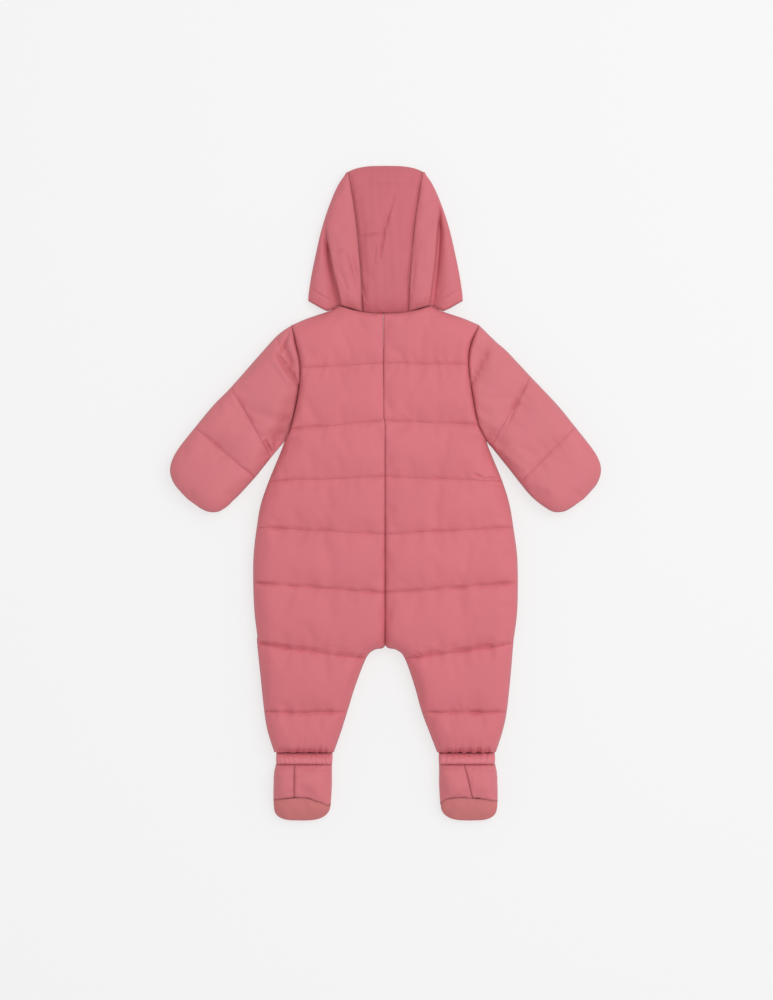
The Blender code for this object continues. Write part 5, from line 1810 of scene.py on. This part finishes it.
HOOD_STRIP_CREASES = (
    Crease(10.6, 376.0, 7.2, 354.0, 1.6, 1.6),
    Crease(7.8, 360.0, -1.5, 326.0, 1.5, 3.2),
    Crease(-2.2, 346.0, -2.2, 312.0, 1.3, 2.4),
    Crease(-1.5, 330.0, -7.5, 290.0, 1.5, 2.4),
    Crease(-12.0, 310.0, -14.0, 285.0, 1.5, 1.2),
    Crease(-36.0, 319.0, -2.0, 324.0, 1.4, 2.4),
    Crease(-36.0, 388.0, 36.0, 387.0, 1.7, 1.0),
    Crease(-31.0, 266.0, -24.0, 238.0, 1.6, 2.0),
    Crease(31.0, 262.0, 30.0, 230.0, 1.8, 1.2),
    Crease(4.5, 356.0, 9.0, 320.0, 3.0, -0.9),
)
HOOD_LEFT_CREASES = (
    Crease(50.0, 302.0, 35.0, 252.0, 1.5, 3.4),
    Crease(42.0, 302.0, 33.0, 258.0, 1.4, 2.8),
    Crease(57.0, 278.0, 46.0, 250.0, 1.8, 1.4),
    Crease(66.0, 298.0, 50.0, 304.0, 1.8, 1.6),
    Crease(90.0, 252.0, 69.5, 242.0, 1.4, 1.0),
)
HOOD_RIGHT_CREASES = (
    Crease(37.0, 290.0, 32.5, 246.0, 1.4, 1.2),
    Crease(52.0, 330.0, 44.0, 272.0, 2.4, 0.5),
    Crease(90.0, 252.0, 69.5, 242.0, 1.4, 1.0),
)


@dataclass
class Snowsuit:
    """The whole suit, from its cut panels to its zip."""

    cell: float = 2.7
    hood_cell: float = 2.6

    def build(self, materials: dict[str, bpy.types.Material]) -> None:
        """Makes every piece."""
        for side in Side:
            self.build_half(side, materials)
            self.build_foot(side, materials)
        self.build_hood(materials)
        Zip().build(materials["tape"], materials["teeth"], materials["metal"])

    def build_half(self, side: Side, materials: dict[str, bpy.types.Material]) -> None:
        """Makes one side's body panels and sleeve."""
        folds = LEFT_SLEEVE_CREASES if side is Side.LEFT else RIGHT_SLEEVE_CREASES
        for layer in Layer:
            back = layer is Layer.BACK
            bends = LEFT_BODY_CREASES if side is Side.LEFT else RIGHT_BODY_CREASES
            panel = HalfPanel(side, layer, BACK_PADDING if back else FRONT_PADDING, Air(), self.cell,
                              bends if back else ())
            panel.shape()
            panel.build(materials["shell"])
            sleeve = Sleeve(side, layer, ARM_BACK_PADDING if back else ARM_FRONT_PADDING, Air(),
                            panel.armhole(), self.cell, folds if back else ())
            sleeve.shape()
            sleeve.build(materials["sleeve"])
            word = "back" if back else "front"
            self.sew(f"quilting_{word}_{side.word}", panel.stitch_lines(), side.value, "shell", materials)
            self.sew(f"quilting_sleeve_{word}_{side.word}", sleeve.stitch_lines(), side.value,
                     "sleeve_shell", materials)

    def build_foot(self, side: Side, materials: dict[str, bpy.types.Material]) -> None:
        """Makes one ankle band and bootie."""
        AnkleBand(side, ruffle=0.6 if side is Side.LEFT else 1.5).build(materials["band"])
        for inner_side in (True, False):
            BootQuarter(side, inner_side, ()).build(materials["boot"])
        Sole(side).build(materials["sole"])

    def build_hood(self, materials: dict[str, bpy.types.Material]) -> None:
        """Makes the hood."""
        strip = HoodStrip(self.hood_cell, HOOD_STRIP_CREASES)
        strip.build(materials["hood_strip"])
        self.sew("topstitch_hood", strip.topstitches(), 1, "hood_shell", materials)
        for side, creases in ((Side.LEFT, HOOD_LEFT_CREASES), (Side.RIGHT, HOOD_RIGHT_CREASES)):
            panel = HoodSide(side, self.hood_cell, creases)
            panel.build(materials["hood_side"])
            self.sew(f"hem_stitch_hood_{side.word}", [panel.hem_line()], side.value, "hood_shell", materials)

    @staticmethod
    def sew(name: str, lines: Sequence[Line], side: int, slot: str,
            materials: dict[str, bpy.types.Material]) -> None:
        """Makes one run of stitching."""
        dress(thread(name, lines, side), materials["thread"], SUIT, slot)


# ---------------------------------------------------------------- studio

@dataclass(frozen=True)
class Studio:
    """Camera straight above, a plain pale floor and soft light."""

    lens: float = 90.0
    camera: tuple[float, float, float] = (0.00125, -0.00875, 3.1395)
    floor_size: float = 8.0
    floor_z: float = -0.0003
    floor_grey: float = 0.25
    floor_glow: float = 0.662  # keeps the floor even beside the suit, with hardly any shadow
    sky: float = 0.62
    key_watts: float = 38.0
    key_size: float = 2.4
    key_place: tuple[float, float, float] = (0.9, 0.6, 2.4)

    def build_camera(self) -> None:
        """Adds the camera."""
        data = bpy.data.cameras.new("camera")
        data.lens = self.lens
        data.sensor_width = 36.0
        data.clip_end = 50.0
        camera = bpy.data.objects.new("camera", data)
        camera.location = self.camera
        bpy.context.scene.collection.objects.link(camera)
        bpy.context.scene.camera = camera

    def build_light(self) -> None:
        """Adds the soft overhead light and the pale surroundings."""
        data = bpy.data.lights.new("key", "AREA")
        data.energy = self.key_watts
        data.size = self.key_size
        light = bpy.data.objects.new("key", data)
        light.location = self.key_place
        light.rotation_euler = (-Vector(self.key_place)).to_track_quat("-Z", "Y").to_euler()
        bpy.context.scene.collection.objects.link(light)
        world = bpy.data.worlds.new("studio")
        world.use_nodes = True
        world.node_tree.nodes["Background"].inputs["Color"].default_value = (1.0, 1.0, 1.0, 1.0)
        world.node_tree.nodes["Background"].inputs["Strength"].default_value = self.sky
        bpy.context.scene.world = world
        bpy.context.scene.view_settings.view_transform = "Standard"

    def build_floor(self) -> None:
        """Adds the floor."""
        bpy.ops.object.select_all(action="DESELECT")
        bpy.ops.mesh.primitive_plane_add(size=self.floor_size, location=(0.0, 0.0, self.floor_z))
        floor = bpy.context.active_object
        floor.name = "floor"
        material = bpy.data.materials.new("floor_white")
        material.use_nodes = True
        shader = material.node_tree.nodes["Principled BSDF"]
        shader.inputs["Base Color"].default_value = (self.floor_grey,) * 3 + (1.0,)
        shader.inputs["Roughness"].default_value = 0.9
        shader.inputs["Specular IOR Level"].default_value = 0.1
        shader.inputs["Emission Color"].default_value = (1.0, 1.0, 1.0, 1.0)
        shader.inputs["Emission Strength"].default_value = self.floor_glow
        floor.data.materials.append(material)


def main() -> None:
    """Builds the studio and the suit."""
    logging.basicConfig(level=logging.INFO, format="%(name)s: %(message)s")
    studio = Studio()
    studio.build_camera()
    groups = {"uneven": cloth_group(), "weave": weave_group(), "seam": painted_shade_group()}
    materials = {key: finish.build(groups) for key, finish in FINISHES.items()}
    Snowsuit().build(materials)
    studio.build_light()
    studio.build_floor()


if __name__ == "__main__":
    main()
